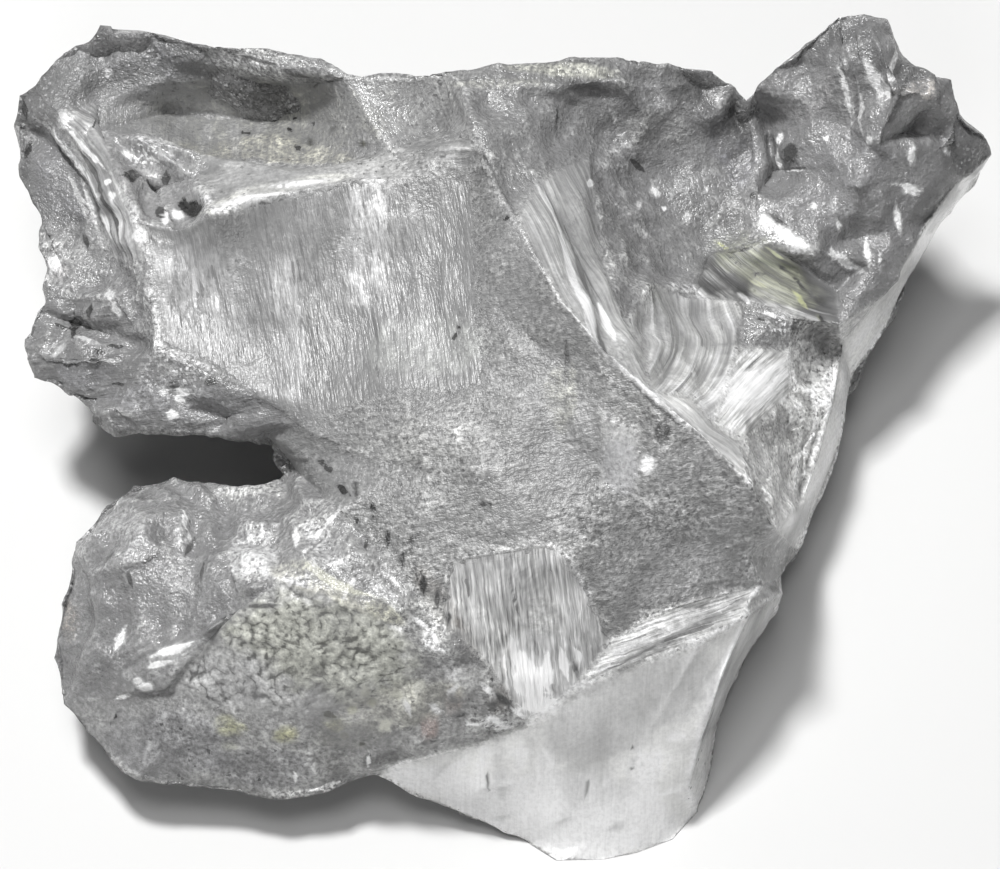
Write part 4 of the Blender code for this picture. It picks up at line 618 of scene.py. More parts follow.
        (22.8, 17.6, 1.5, 1.2, 0, 0.04, 0.7),
        # gleam
        (24, 21, 1.1, 0.18, 5, 0.85, 0.88), (26.2, 23.6, 0.3, 0.24, 0, 0.95, 0.9),
        (32.2, 20, 1.2, 0.24, 0, 0.8, 0.88), (25.2, 18.1, 0.26, 0.5, 0, 0.8, 0.88),
        (29.8, 23.6, 0.3, 0.3, 0, 0.9, 0.9), (35.8, 22.6, 0.26, 0.3, 0, 0.85, 0.88),
        (26.6, 14.4, 0.22, 0.9, 4, 0.75, 0.88), (29.4, 14.9, 0.2, 1.2, -2, 0.7, 0.88),
        # white
        (30.4, 14.1, 0.18, 1, -4, 0.95, 0.9), (21.3, 17, 0.9, 0.6, -50, 0.9, 0.88),
        # valley: its white spots are painted glints
        (15, 27.2, 1.5, 0.8, 0, 0.06, 0.7), (18.8, 25.3, 0.9, 1.8, 12, 0.07, 0.7),
        (8, 27.1, 1.2, 0.6, -20, 0.09, 0.5), (20.2, 24.5, 0.9, 0.9, 0, 0.06, 0.7),
        (7.2, 20.1, 0.4, 0.5, 0, 1, 0.93), (12.6, 19.7, 0.45, 0.5, 0, 1, 0.93),
        (13.4, 18.4, 0.26, 0.3, 0, 0.9, 0.9), (16.5, 19.6, 0.26, 0.3, 0, 0.8, 0.88),
        (9.4, 25.3, 0.2, 0.9, 20, 0.7, 0.86), (11.2, 18.4, 0.3, 0.6, -30, 0.75, 0.88),
        # terrace
        (18.9, 13.8, 1, 0.22, -35, 0.03, 0.9), (20.6, 12.8, 1, 0.2, 12, 0.04, 0.9),
        (22.6, 13.3, 0.9, 0.2, -30, 0.04, 0.9), (24, 12, 1.2, 0.2, -45, 0.05, 0.88),
        (17.8, 15.2, 1, 0.2, -30, (0.5, 0.52, 0.3), 0.88),
        (24, 10.8, 1.1, 0.24, -48, (0.5, 0.52, 0.3), 0.88),
        (20.8, 12, 1.3, 0.2, -15, (0.45, 0.46, 0.33), 0.86),
        (22, 14.4, 1, 0.2, -35, (0.48, 0.5, 0.34), 0.86), (25.8, 9.3, 0.8, 0.26, -35, 0.04, 0.9),
        (19.6, 14.8, 0.8, 0.16, 20, 0.04, 0.88),
        # border
        (21.6, 9.6, 1, 0.26, -10, 0.85, 0.88), (19.6, 10.8, 0.8, 0.26, -35, 0.8, 0.88),
        (23.6, 8.5, 0.7, 0.3, -10, 0.03, 0.9), (20.8, 9, 0.5, 0.24, -10, 0.05, 0.88),
        # window: its white patches are painted highlights
        (3.2, -21.6, 2, 1, 15, 1, 0.97), (1.1, -17.4, 0.3, 2, 10, 1, 0.95),
        (1.2, -13.2, 0.18, 2.6, 14, 0.12, 0.86), (6, -18.7, 0.3, 1.2, 20, 0.1, 0.88),
        # shelf
        (13.4, -16.4, 8.5, 0.2, 27, 0.2, 0.88), (16, -15, 6, 0.18, 26, 0.3, 0.86),
        # corner
        (21.6, -12.3, 0.9, 0.3, -20, 0.08, 0.88),
        # wedge
        (10.7, -24.8, 0.2, 0.9, -28, 0.07, 0.9), (10.4, -26.7, 0.3, 0.2, 0, 0.1, 0.88),
        (-1, -27.6, 0.22, 1.6, 6, 0.14, 0.88), (6.9, -28.4, 0.22, 1.8, -8, 0.3, 0.86),
        (9, -28.4, 0.2, 1.4, -6, 0.35, 0.86),
        # pocket
        (-28.2, 20.1, 0.25, 0.7, 0, 0.05, 0.9), (-27.2, 17.6, 0.26, 0.9, 30, 0.05, 0.9),
        (-28, 22, 0.8, 0.4, -20, 1, 0.93), (-29.9, 22.6, 0.6, 0.35, -10, 1, 0.93),
        (-25.8, 17.6, 0.5, 0.6, 0, 0.95, 0.9), (-23.6, 18.4, 1, 0.7, 0, 0.9, 0.8),
        (-26.8, 17, 0.35, 0.6, 10, 0.9, 0.88), (-28.8, 15.9, 0.6, 0.7, 0, 0.95, 0.9),
        # wedge: its pale streaks paint the light seen through the clear glass
        (0, -26.4, 0.5, 3.4, 6, 0.5, 0.5), (11.2, -28, 1.3, 2.8, 0, 1, 0.6),
        (6, -27.2, 1.2, 3, 0, 0.62, 0.4), (8.8, -29.2, 0.5, 2.2, 0, 1, 0.6),
        # ledge
        (-20, 29.5, 3.4, 0.5, -8, 0.75, 0.8), (-17.2, 28.8, 2, 0.35, -14, 0.9, 0.8),
        (-19, 30.1, 2.6, 0.16, -8, 0.1, 0.86), (-16, 29.2, 1.6, 0.16, -16, 0.1, 0.86),
        # bowl
        (-23.6, 24, 0.4, 1.6, -8, 0.55, 0.5), (-21.2, 23.6, 0.5, 1.6, 6, 0.5, 0.5),
        (-25.6, 24.8, 0.35, 1.6, -14, 0.42, 0.5), (-19, 24.8, 0.4, 1.4, -30, 0.5, 0.4),
        (-16.8, 24.4, 0.3, 0.26, 0, 0.02, 0.93), (-16.4, 25.3, 0.26, 0.3, 0, 0.02, 0.92),
        (-20.6, 24.4, 0.3, 0.22, 0, 0.04, 0.9), (-19.8, 25.3, 0.24, 0.2, 0, 0.05, 0.9),
        (-15.2, 25, 0.24, 0.2, 0, 0.04, 0.9),
        # blade
        (7.2, 9.3, 0.4, 3.2, 18, 0.95, 0.9), (8.2, 7.2, 0.24, 2.6, 22, 0.12, 0.88),
        (3.8, 18.4, 0.24, 3, 24, 0.7, 0.88),
        # crease
        (5.3, 6, 0.26, 3.2, -2, 0.12, 0.88), (5, 3.2, 1.2, 2.6, 2, (0.3, 0.3, 0.25), 0.5),
        # ridge
        (11.2, 4, 0.3, 6.2, 47, 0.8, 0.88), (12.5, 2.4, 0.22, 6.6, 48, 0.1, 0.88),
        # dome
        (7.6, 23.6, 2.2, 2.4, 0, 0.36, 0.7),
        # lobe
        (-19, -13.7, 1.8, 0.26, 4, 0.1, 0.88), (-23.6, -11.2, 0.26, 1.5, 0, 0.1, 0.88),
        (-24.8, -8.8, 0.26, 1.6, -30, 0.1, 0.88), (-28, -10, 1.6, 0.26, 32, 0.1, 0.88),
        (-13.6, -6.8, 0.3, 1.6, -35, 0.9, 0.9), (-14.6, -11.2, 0.24, 1.2, -20, 0.85, 0.88),
        (-16, -8.8, 0.3, 1.3, -5, 0.9, 0.88), (-24.8, -8.2, 0.2, 0.8, 12, 0.9, 0.88),
        # lip: its pale band, partly its own cream colour and partly a painted highlight
        (-23, 18.1, 1.7, 0.5, 12, (0.9, 0.9, 0.85), 0.8), (-19, 19.3, 3.3, 0.4, 12, (0.85, 0.85, 0.8), 0.8),
        (-14.2, 20.4, 2.4, 0.28, 6, (0.85, 0.85, 0.8), 0.8), (-20, 18.8, 3.6, 0.26, 13, 0.9, 0.88),
        (-16, 20, 3, 0.24, 9, 0.85, 0.88), (-19, 18.5, 3.4, 0.24, 13, 0.14, 0.86),
        # rib
        (-33, 22.8, 0.24, 2.8, 44, 0.9, 0.88), (-32.4, 21.2, 0.24, 3.2, 34, 0.08, 0.88),
        (-30.4, 17.6, 0.24, 2.2, 10, 0.9, 0.88), (-35.4, 23.6, 0.24, 2.4, 44, 0.9, 0.88),
        (-33.8, 19.2, 0.24, 2.4, 20, 0.55, 0.86),
        # cell
        (-9.2, -23.2, 0.7, 0.6, 20, (0.6, 0.6, 0.54), 0.88),
        (-10.8, -20.4, 0.5, 0.7, 30, (0.5, 0.5, 0.45), 0.88),
        (-13.6, -22.4, 0.7, 0.4, -10, (0.14, 0.14, 0.13), 0.88), (-7.4, -21.6, 0.3, 0.9, 20, 0.75, 0.88),
        (-5.2, -21.9, 0.9, 0.3, -30, 0.65, 0.88), (-3.8, -20.4, 0.9, 0.3, 50, 0.8, 0.9),
        (-3.2, -22.4, 0.8, 0.3, 20, 0.06, 0.9), (-1, -20.4, 0.3, 1, 40, 0.9, 0.9),
        (0.2, -21.2, 0.3, 1.2, 48, 0.06, 0.9), (1.4, -22.2, 0.7, 0.3, -30, 0.95, 0.92),
        (-2.4, -24, 0.9, 0.24, 12, 0.5, 0.88), (-5.6, -24.4, 0.9, 0.24, 8, 0.1, 0.88),
        (-0.4, -22.8, 0.9, 0.3, -20, 0.98, 0.92),
        # lobe
        (-29.6, -11.6, 0.26, 1.2, 10, 0.1, 0.88), (-22, -14.8, 1.2, 0.24, -10, 0.1, 0.88),
        (-31.2, -10, 0.24, 1.2, -30, 0.12, 0.88), (-28, -16.4, 1.2, 0.7, 20, 0.1, 0.7),
        # chunk
        (-34, 7.7, 0.24, 1.2, 0, 0.05, 0.9), (-35.2, 8.4, 0.9, 0.24, -18, 0.05, 0.88),
        (-32.8, 7.2, 1.2, 0.24, -6, 0.7, 0.88), (-31.6, 6, 1.4, 0.24, -4, 0.6, 0.88),
        (-35.2, 6.8, 0.9, 0.24, 30, 0.6, 0.88), (-32, 6.6, 1.2, 0.24, -5, 0.05, 0.88),
        (-30.4, 4, 1, 0.24, 0, 0.05, 0.88), (-26.2, 1.8, 0.4, 0.5, 0, 1, 0.93),
        (-25.6, 2.9, 0.7, 0.4, -20, 1, 0.92), (-26.8, 3.4, 0.5, 0.3, 10, 0.7, 0.88),
        # arm
        (-31.2, 11.2, 0.5, 0.9, 20, 0.8, 0.88), (-30.6, 10, 0.3, 0.8, 10, 0.85, 0.88),
        (-32.4, 10, 0.3, 0.8, 0, 0.05, 0.88), (-33.2, 15.6, 0.3, 1.1, 10, 0.06, 0.88),
        # head: a near-black patch at its top edge, painted dark refraction, and a white streak, a painted
        # reflection
        (30.4, 30, 1.2, 0.8, 10, 0.05, 0.6), (29, 26, 0.24, 2.2, 8, 0.7, 0.88),
        (32.4, 28, 0.24, 1.6, -20, 0.1, 0.88),
        # valley
        (8.8, 22.8, 1.2, 0.9, 10, 0.45, 0.6), (17.6, 26.8, 0.24, 1.2, -16, 0.5, 0.86),
        (11.2, 16.4, 0.9, 0.4, -30, 0.6, 0.86), (10, 19.6, 0.24, 1.8, 18, 0.5, 0.86),
        (15.2, 17.6, 0.4, 0.5, 0, 0.6, 0.86),
        # plateau
        (18.8, -9.6, 5, 2.6, 10, 0.42, 0.7), (20.2, -6.4, 1.9, 2.8, 0, 0.42, 0.6),
        (8, -5.2, 3.8, 3.4, 0, 0.28, 0.4), (15.2, -11.2, 5, 1.6, 12, 0.4, 0.5),
        # lobe
        (-29.4, -8.5, 1.9, 1.6, 10, 0.6, 0.75), (-32.2, -11.6, 1.1, 1.7, -12, 0.52, 0.7),
        (-25.2, -8, 0.8, 2.2, 4, 0.55, 0.7), (-19.8, -9.7, 1.8, 1.7, 0, 0.8, 0.8),
        (-26.8, -12.6, 2.4, 2, 0, 0.33, 0.7), (-22.8, -13.2, 1.3, 1.9, -10, 0.42, 0.6),
        (-27.4, -8.4, 0.6, 1.8, -10, 0.08, 0.75), (-22.8, -9.6, 0.7, 2, 4, 0.11, 0.7),
        (-28.8, -10.7, 2.4, 0.5, 16, 0.09, 0.7), (-30.4, -14, 1.2, 1.4, 0, 0.1, 0.7),
        (-18, -6.8, 1.2, 0.9, 0, 0.16, 0.6),
        # head: broad dark patches, those at its top edge and right tip painted dark refraction
        (28, 24.5, 3, 0.9, -6, 0.07, 0.6), (31.2, 17.6, 1.1, 2.4, -8, 0.06, 0.6),
        (25, 30, 2.4, 0.7, 40, 0.06, 0.7), (36.4, 24.8, 1.2, 2.6, -40, 0.05, 0.7),
        (24, 27.7, 2.2, 1.6, 20, 0.3, 0.6), (27.6, 17.6, 2, 1.8, 0, 0.22, 0.5),
        # valley
        (18.8, 24.4, 1.4, 2.4, 15, 0.09, 0.6), (15.2, 26.8, 2.6, 1, -10, 0.09, 0.6),
        (16, 19.2, 1.6, 2.4, 0, 0.12, 0.5),
        # window: a broad white, a painted highlight
        (3.6, -18.7, 3, 3.4, 8, 1, 0.8), (6.2, -17.6, 0.26, 1.5, 14, 0.95, 0.92),
        (-0.8, -11.6, 2.6, 2.4, 10, 0.34, 0.45), (4.2, -20.4, 0.24, 1, 8, 0.3, 0.9),
        # plateau
        (15.2, -8.4, 6, 3.2, -40, 0.34, 0.4),
        # lobe
        (-30, -7.7, 1.7, 1.8, 20, 0.55, 0.7), (-25.4, -8.1, 0.6, 2.2, -5, 0.85, 0.8),
        # oval
        (-20, -9.7, 1.8, 2, 0, 0.72, 0.8),
        # cream
        (-16, -11.5, 2.2, 0.8, -20, (0.74, 0.73, 0.66), 0.8),
        (-12.4, -12.9, 2.4, 0.7, -28, (0.72, 0.71, 0.62), 0.8),
        (-9.2, -14.2, 1.8, 0.6, -30, (0.66, 0.65, 0.5), 0.8),
        # green
        (-21.4, -23.5, 1, 0.45, 10, (0.46, 0.46, 0.25), 0.5),
        (-17, -23.9, 0.9, 0.5, 20, (0.5, 0.49, 0.27), 0.5),
        (-13.2, -23.2, 0.7, 0.5, 0, (0.48, 0.47, 0.27), 0.5),
    ],
    "crispShare": 0.85,  # patches of at least this share are crisp
    "patchEdge": 0.28,  # softness of a broad patch's edge
    "patchReach": 1.15,
    "raggedShare": 0.9,
    "roundest": 1.8,  # crisp patches less drawn out than this are round
    "splinter": (0.84, 0.25),  # size and slant of the four-pointed ones
    "hiddenFade": 2.0,
    "darkMilk": 0.4,  # dark patches are milkier
    "milkCloud": 0.16,
    "cloudTone": 0.16,
    "toneTint": (1.0, 1.0, 0.985),
    "toneRange": (0.01, 1.0),
    # smooth noises, each a sum of layers: (length in millimetres, strength, seed)
    "noises": {
        "lumps": ((4.8, 1.0, 11), (2.9, 0.55, 12)),
        "wobble": ((5.0, 0.3, 53),),
        "knobs": ((0.9, 0.25, 73),),
        "grain": ((0.8, 1.0, 95), (0.4, 0.6, 96)),
        "cloud": ((6.0, 1.0, 201), (2.4, 0.7, 202)),
        "ragged": ((1.1, 0.26, 203), (0.45, 0.156, 204)),
        "glitterEdge": ((1.6, 0.4, 205),),
        "glitter": ((3.2, 1.2, 206),),
        "pits": ((5.0, 1.6, 207),),
        "fine": ((3.0, 0.6, 209),),
        "ridgeShading": ((2.6, 0.9, 211),),
    },
    # what comes and goes over the stone: (level, lowest, highest), with the noise of the same name added
    "fades": {
        "glitter": (1.0, 0.15, 2.2),
        "pits": (0.1, 0.0, 1.0),
        "fine": (0.95, 0.45, 1.0),
        "ridgeShading": (0.7, 0.1, 1.4),
    },
    "softenRounds": 6,
    # ridges worn smooth: (across, up, half width, half height)
    "worn": {
        "faceEast": (-1.2, 12.5, 3.4, 12.5),
        "faceSouth": (-9.0, 3.2, 12.0, 2.6),
        "plateauMiddle": (5.0, -1.0, 3.0, 8.5),
        "plateauSouth": (13.5, -7.5, 6.5, 4.5),
        "faceMiddle": (-18.0, 12.0, 11.0, 3.2),
    },
    "wornRounds": 60,
    "wornEdge": (1.2, 0.4),  # where an ellipse ends, in half sizes, and how softly
    "glitterEdge": (1.2, 0.7),
    # scoops broken out of the glass: (length, share of the depth, share of the tone, seed)
    "scoops": ((4.4, 1.0, 0.40, 31), (1.9, 0.36, 0.34, 41), (0.95, 0.14, 0.24, 61)),
    "scoopShape": (0.8, 0.68, 0.36),  # bend, slant and step of one scoop
    "scoopFade": 0.5,  # scoops shallower than this lose their tone too
    # lighter lines along the ridges between scoops: partly the whitish frost of a broken edge, partly a
    # painted highlight
    "ridgeWidth": 0.07,
    "paintedRidgeLight": 0.9,
    "lineTone": 1.6,
    "lineSeed": 50,
    "cobbleLength": 0.9,
    "cobbleHeight": 0.2,
    "cobbleLevel": 0.6,
    "cobbleSeed": 71,
    "terraceWave": (3.2, 9.0, 4.0, 91),  # width, length, number of shelves in a swell, seed
    "terraceSharp": 5.0,
    "terraceTone": 1.2,
    "terraceRise": 0.15,
    "ridgeHighlightCreaseShade": (0.5, 0.25),  # painted highlight on ridges and painted shade in creases, at a fine and a broad scale
    "ridgeRounds": (2, 12),
    "ridgeReach": 0.012,
    "grainHeight": 0.06,
    "linePits": 0.4,  # share of the plateau's pits on the striated face
    "freedom": (0.3, 1.0),  # how freely seen and hidden faces are thinned
    "hiddenFrom": 0.8,
}


# the sighting point, and the unit steps ahead and upward from it
def sightingFrame():
    tilt = math.radians(stone["sightElevation"])
    ahead = np.array((0.0, math.cos(tilt), -math.sin(tilt)))
    upward = np.array((0.0, math.sin(tilt), math.cos(tilt)))
    return np.array(stone["sightTarget"]) - ahead * stone["sightDistance"], ahead, upward


# a corner lies where its sighting line meets the plane z = height
def sightedPoint(across, up, height):
    eye, ahead, upward = sightingFrame()
    ray = ahead * stone["sightDistance"] + np.array((across, 0.0, 0.0)) + upward * up
    return eye + ray * (height - eye[2]) / ray[2]


# the reverse of sightedPoint: where a place appears across and up the sighting plane
def sightedPlace(places):
    eye, ahead, upward = sightingFrame()
    reach = places - eye
    scale = stone["sightDistance"] / (reach @ ahead)
    return reach[:, 0] * scale, (reach @ upward) * scale


# a fixed value from -1 to 1 for each whole-number cell, by mixing the cell's three numbers
def latticeValue(cells, seed):
    mixed = cells[:, 0] * 374761393 + cells[:, 1] * 668265263 + cells[:, 2] * 2147483647 + seed * 144269
    mixed = (mixed ^ (mixed >> 13)) * 1274126177 & 0x7FFFFFFF
    mixed = (mixed ^ (mixed >> 16)) & 0xFFFF
    return mixed / 32767.5 - 1.0


# smooth lumps: the values of the eight cells round a place, blended by 3t^2 - 2t^3 along each axis
def latticeNoise(places, length, seed):
    scaled = places / length
    cell = np.floor(scaled).astype(np.int64)
    part = scaled - cell
    blend = part * part * (3.0 - 2.0 * part)
    total = np.zeros(len(places))
    for step in np.ndindex(2, 2, 2):
        corner = np.array(step)
        weight = np.prod(np.where(corner == 1, blend, 1.0 - blend), axis=1)
        total += weight * latticeValue(cell + corner, seed)
    return total


# one of the stone's noises: the sum over its layers of strength * latticeNoise
def stoneNoise(spec, name, places):
    layers = spec["noises"][name]
    return sum(strength * latticeNoise(places, length, seed) for length, strength, seed in layers)


# level + noise, held between the lowest and the highest
def stoneFade(spec, name, places):
    level, low, high = spec["fades"][name]
    return np.clip(level + stoneNoise(spec, name, places), low, high)


# 1 inside an ellipse and 0 outside, with d the distance in half sizes: (end - d) / softness, held to 0..1
def ellipseShare(across, up, ellipse, edge, ragged=0.0):
    x, y, halfWide, halfHigh = ellipse
    away = np.hypot((across - x) / halfWide, (up - y) / halfHigh) + ragged
    return np.clip((edge[0] - away) / edge[1], 0.0, 1.0)


# the cells round each place, with the offset of the place from one scattered point in each
def scatteredCells(places, length, seed):
    scaled = places / length
    home = np.floor(scaled).astype(np.int64)
    for side in np.ndindex(3, 3, 3):
        cell = home + np.array(side) - 1
        spots = [cell[:, axis] + 0.5 + 0.42 * latticeValue(cell, seed + axis) for axis in range(3)]
        yield cell, scaled - np.stack(spots, axis=1)


# broken glass: the lowest of the hollow faces bend d^2 + slant (lean . offset) + step number round scattered
# points, one to a cell, so that scoops meet along sharp ridges; with it, the room to the next face and the
# face's number
def scoopHeight(places, length, seed, shape):
    bend, slant, step = shape
    low = np.full(len(places), 9.0)
    room = np.full(len(places), 9.0)
    number = np.zeros(len(places))
    for cell, offset in scatteredCells(places, length, seed):
        lean = np.stack([latticeValue(cell, seed + 5 + axis) for axis in range(3)], axis=1)
        own = latticeValue(cell, seed + 9)
        face = bend * (offset ** 2).sum(axis=1) + slant * (lean * offset).sum(axis=1) + step * own
        under = face < low
        room = np.where(under, low - face, np.minimum(room, face - low))
        number = np.where(under, own, number)
        low = np.minimum(low, face)
    return low, room, number


# distance to the nearest of one scattered point per cell, and how much farther the next one is
def knobDistance(places, length, seed):
    nearest = np.full(len(places), 9.0)
    second = np.full(len(places), 9.0)
    for _, offset in scatteredCells(places, length, seed):
        away = np.linalg.norm(offset, axis=1)
        second = np.minimum(second, np.maximum(nearest, away))
        nearest = np.minimum(nearest, away)
    return nearest, second - nearest


# each facet of n corners is n four-sided patches: a corner, the middle of the side after it, the facet's
# middle and the middle of the side before it
def facetPatches(spec):
    points = {name: sightedPoint(*place) for name, place in spec["sighted"].items()}
    points.update({name: np.array(place) for name, place in spec["underside"].items()})
    patches = []
    kinds = []
    for kindNumber, loops in enumerate(spec["facets"].values()):
        for loop in loops:
            ring = np.array([points[name] for name in loop.split()])
            after = (ring + np.roll(ring, -1, axis=0)) / 2
            before = (ring + np.roll(ring, 1, axis=0)) / 2
            middle = np.broadcast_to(ring.mean(axis=0), ring.shape)
            patches.append(np.stack((ring, after, middle, before), axis=1))
            kinds += [kindNumber] * len(ring)
    return np.concatenate(patches), np.array(kinds)


# a patch is P(u,v) = (1-u)(1-v)A + u(1-v)B + uvC + (1-u)vD on a square grid, and its rise towards the facet's
# middle is sin^2(pi u / 2) sin^2(pi v / 2)
def gridOfPatches(patches, cells):
    steps = np.linspace(0.0, 1.0, cells + 1)
    u, v = [a.ravel() for a in np.meshgrid(steps, steps, indexing="ij")]
    weights = np.stack(((1 - u) * (1 - v), u * (1 - v), u * v, (1 - u) * v), axis=1)
    places = np.einsum("gk,pkc->pgc", weights, patches)
    rise = np.sin(0.5 * np.pi * u) ** 2 * np.sin(0.5 * np.pi * v) ** 2
    row, col = [a.ravel() for a in np.meshgrid(np.arange(cells), np.arange(cells), indexing="ij")]
    side = cells + 1
    first = row * side + col
    quad = np.stack((first, first + side, first + side + 1, first + 1), axis=1)
    count = len(patches)
    quads = (quad[None] + (np.arange(count) * side * side)[:, None, None]).reshape(-1, 4)
    return places.reshape(-1, 3), np.tile(rise, count), quads


# patches meet along ridges, so places in one small cell become one vertex
def weldGrid(places, quads, spec):
    keys = np.floor(places / spec["weldGrid"] + spec["weldShift"]).astype(np.int64)
    _, first, merged = np.unique(keys, axis=0, return_index=True, return_inverse=True)
    return places[first], merged.ravel()[quads], first


# the mean direction of the quads round each vertex, a quad's being the cross product of its diagonals
def surfaceNormals(places, quads):
    cross = np.cross(places[quads[:, 2]] - places[quads[:, 0]], places[quads[:, 3]] - places[quads[:, 1]])
    normals = np.zeros_like(places)
    for corner in range(4):
        np.add.at(normals, quads[:, corner], cross)
    return normals / np.maximum(np.linalg.norm(normals, axis=1, keepdims=True), 1e-12)


# the lines of one kind of surface: with t along them and s to their side, a line is where
# s + bend t^2 / 2 stays the same
def linePlace(spec, name, across, up):
    turn = math.radians(spec["lines"][name][0])
    x, y, bend = spec["bends"].get(name, (0.0, 0.0, 0.0))
    along = (across - x) * math.cos(turn) + (up - y) * math.sin(turn)
    aside = (up - y) * math.cos(turn) - (across - x) * math.sin(turn)
    return aside + 0.5 * bend * along ** 2, along


# furrows: lumps drawn out along the lines, a broad set and a finer one
def furrowHeight(aside, along, width, length, wobble, seed):
    stretched = np.stack(((aside + wobble) / width, along / length, np.full(len(aside), 0.5)), axis=1)
    fine = stretched * np.array((2.3, 1.6, 1.0))
    return 0.65 * latticeNoise(stretched, 1.0, seed) + 0.35 * latticeNoise(fine, 1.0, seed + 1)


# values fade into each other: each vertex takes the mean of its quads, several times over
def softenShares(shares, quads, rounds):
    corners = quads.ravel()
    count = np.maximum(np.bincount(corners, minlength=len(shares)), 1)
    for _ in range(rounds):
        means = np.repeat(shares[quads].mean(axis=1), 4, axis=0)
        shares = np.stack([np.bincount(corners, weights=means[:, column], minlength=len(shares)) / count
                           for column in range(shares.shape[1])], axis=1)
    return shares


# share of each vertex that lies on the named kinds of surface: 1 inside their facets, less on a shared ridge
def kindShare(spec, kindCounts, *names):
    return sum(kindCounts[:, list(spec["surfaces"]).index(name)] for name in names)


# one column of the table of surfaces, mixed by each vertex's shares
def surfaceValue(spec, kindCounts, name):
    column = spec["columns"].index(name)
    return kindCounts @ np.array([values[column] for values in spec["surfaces"].values()])


# height over the flat facets: the facet's swell, its lumps, scoops and furrows, knobs on the crust, shelves
# on the terraces and a fine grain; with it, a tone that goes with the relief (each scoop its own random tone,
# a lighter line along the scoops' ridges that is partly their frost and partly a painted highlight, a tone
# that follows the furrows and a darker slope between shelves), and the gaps between knobs
def stoneRelief(spec, places, kindCounts, rise):
    swell, lump, scoop = [surfaceValue(spec, kindCounts, name) for name in ("swell", "lump", "scoop")]
    height = swell * rise + lump * stoneNoise(spec, "lumps", places)
    reliefToneAndShading = np.zeros(len(places))
    crack = np.ones(len(places))
    for length, depthShare, toneShare, seed in spec["scoops"]:
        low, room, number = scoopHeight(places, length, seed, spec["scoopShape"])
        height += scoop * depthShare * low
        # each scoop face its own random tone; its ridges lighter, partly frost and partly a painted highlight
        ridge = np.clip(1.0 - room / spec["ridgeWidth"], 0.0, 1.0)
        reliefToneAndShading += toneShare * (number + spec["paintedRidgeLight"] * ridge)
    reliefToneAndShading *= np.clip(scoop / spec["scoopFade"], 0.0, 1.0)

    across, up = sightedPlace(places)
    wobble = stoneNoise(spec, "wobble", places)
    for number, (name, (_, width, length, depth, toneShare, _)) in enumerate(spec["lines"].items()):
        share = kindShare(spec, kindCounts, name)
        chosen = share > 0
        aside, along = linePlace(spec, name, across[chosen], up[chosen])
        seed = spec["lineSeed"] + number
        furrow = share[chosen] * furrowHeight(aside, along, width, length, wobble[chosen], seed)
        height[chosen] += depth * furrow
        reliefToneAndShading[chosen] += spec["lineTone"] * toneShare * furrow

    # rounded knobs, level - d^2 round each scattered point
    share = kindShare(spec, kindCounts, "cobble")
    chosen = share > 0
    shaken = places[chosen] + stoneNoise(spec, "knobs", places[chosen])[:, None]
    near, gap = knobDistance(shaken, spec["cobbleLength"], spec["cobbleSeed"])
    height[chosen] += spec["cobbleHeight"] * share[chosen] * (spec["cobbleLevel"] - near ** 2)
    crack[chosen] = np.minimum(1.0, gap + 1.0 - share[chosen])

    # thin shelves: the whole part of a slow swell, with a slope from each to the next
    share = kindShare(spec, kindCounts, "terrace")
    chosen = share > 0
    aside, along = linePlace(spec, "terrace", across[chosen], up[chosen])
    width, length, shelves, seed = spec["terraceWave"]
    wave = shelves * furrowHeight(aside, along, width, length, wobble[chosen], seed)
    slope = np.clip((wave - np.floor(wave)) * spec["terraceSharp"], 0.0, 1.0)
    height[chosen] += spec["terraceRise"] * share[chosen] * (np.floor(wave) + slope)
    reliefToneAndShading[chosen] -= spec["terraceTone"] * share[chosen] * (1.0 - np.abs(2.0 * slope - 1.0))

    grain = surfaceValue(spec, kindCounts, "grain")
    height += spec["grainHeight"] * grain * stoneNoise(spec, "grain", places)
    return height, reliefToneAndShading, crack


# painted highlight on ridges and painted shade in creases, by how far each vertex stands out from the mean of
# its neighbourhood
def paintedRidgeLight(spec, moved, quads):
    normals = surfaceNormals(moved, quads)
    tone = np.zeros(len(moved))
    for strength, rounds in zip(spec["ridgeHighlightCreaseShade"], spec["ridgeRounds"]):
        out = ((moved - softenShares(moved, quads, rounds)) * normals).sum(axis=1)
        tone += strength * np.tanh(out / (spec["ridgeReach"] * rounds))
    return tone * stoneFade(spec, "ridgeShading", moved)


# colour of each vertex: that of its kind of surface, then the broad patches, and e^(cloud + relief) over
# both; the relief's part holds the painted highlights on ridges and painted shade in creases
def stoneTone(spec, places, kindCounts, reliefToneAndShading):
    plain = surfaceValue(spec, kindCounts, "tone")
    tone = plain[:, None] * np.array(spec["toneTint"])
    field, colours, tone = stonePatches(spec, places, kindCounts, tone)
    cloud = stoneNoise(spec, "cloud", places)
    milk = surfaceValue(spec, kindCounts, "milk") + spec["milkCloud"] * cloud
    milk += spec["darkMilk"] * np.clip(1.0 - tone[:, 0] / plain, 0.0, 1.0)
    tone *= np.exp(spec["cloudTone"] * cloud + reliefToneAndShading)[:, None]
    return np.clip(tone, *spec["toneRange"]), np.clip(milk, 0.0, 1.0), field, colours


# with d the distance from a patch's middle in half sizes, its field is reach - d, made a little ragged; d is
# round on a broad or compact patch, and |aside| + |above| on a splinter, which gives it four points
def patchField(spec, across, up, patch, ragged):
    x, y, halfWide, halfHigh, turn, _, share = patch
    c, s = math.cos(math.radians(turn)), math.sin(math.radians(turn))
    du, dv = across - x, up - y
    aside, above = (du * c + dv * s) / halfWide, (dv * c - du * s) / halfHigh
    size, slant = spec["splinter"]
    small, large = sorted((halfWide, halfHigh))
    if share < spec["crispShare"] or large < spec["roundest"] * small:
        away = np.hypot(aside, above)
    else:
        away = size * (np.abs(aside + slant * above) + np.abs(above))
    return spec["patchReach"] - away - ragged * min(1.0, spec["raggedShare"] * small)


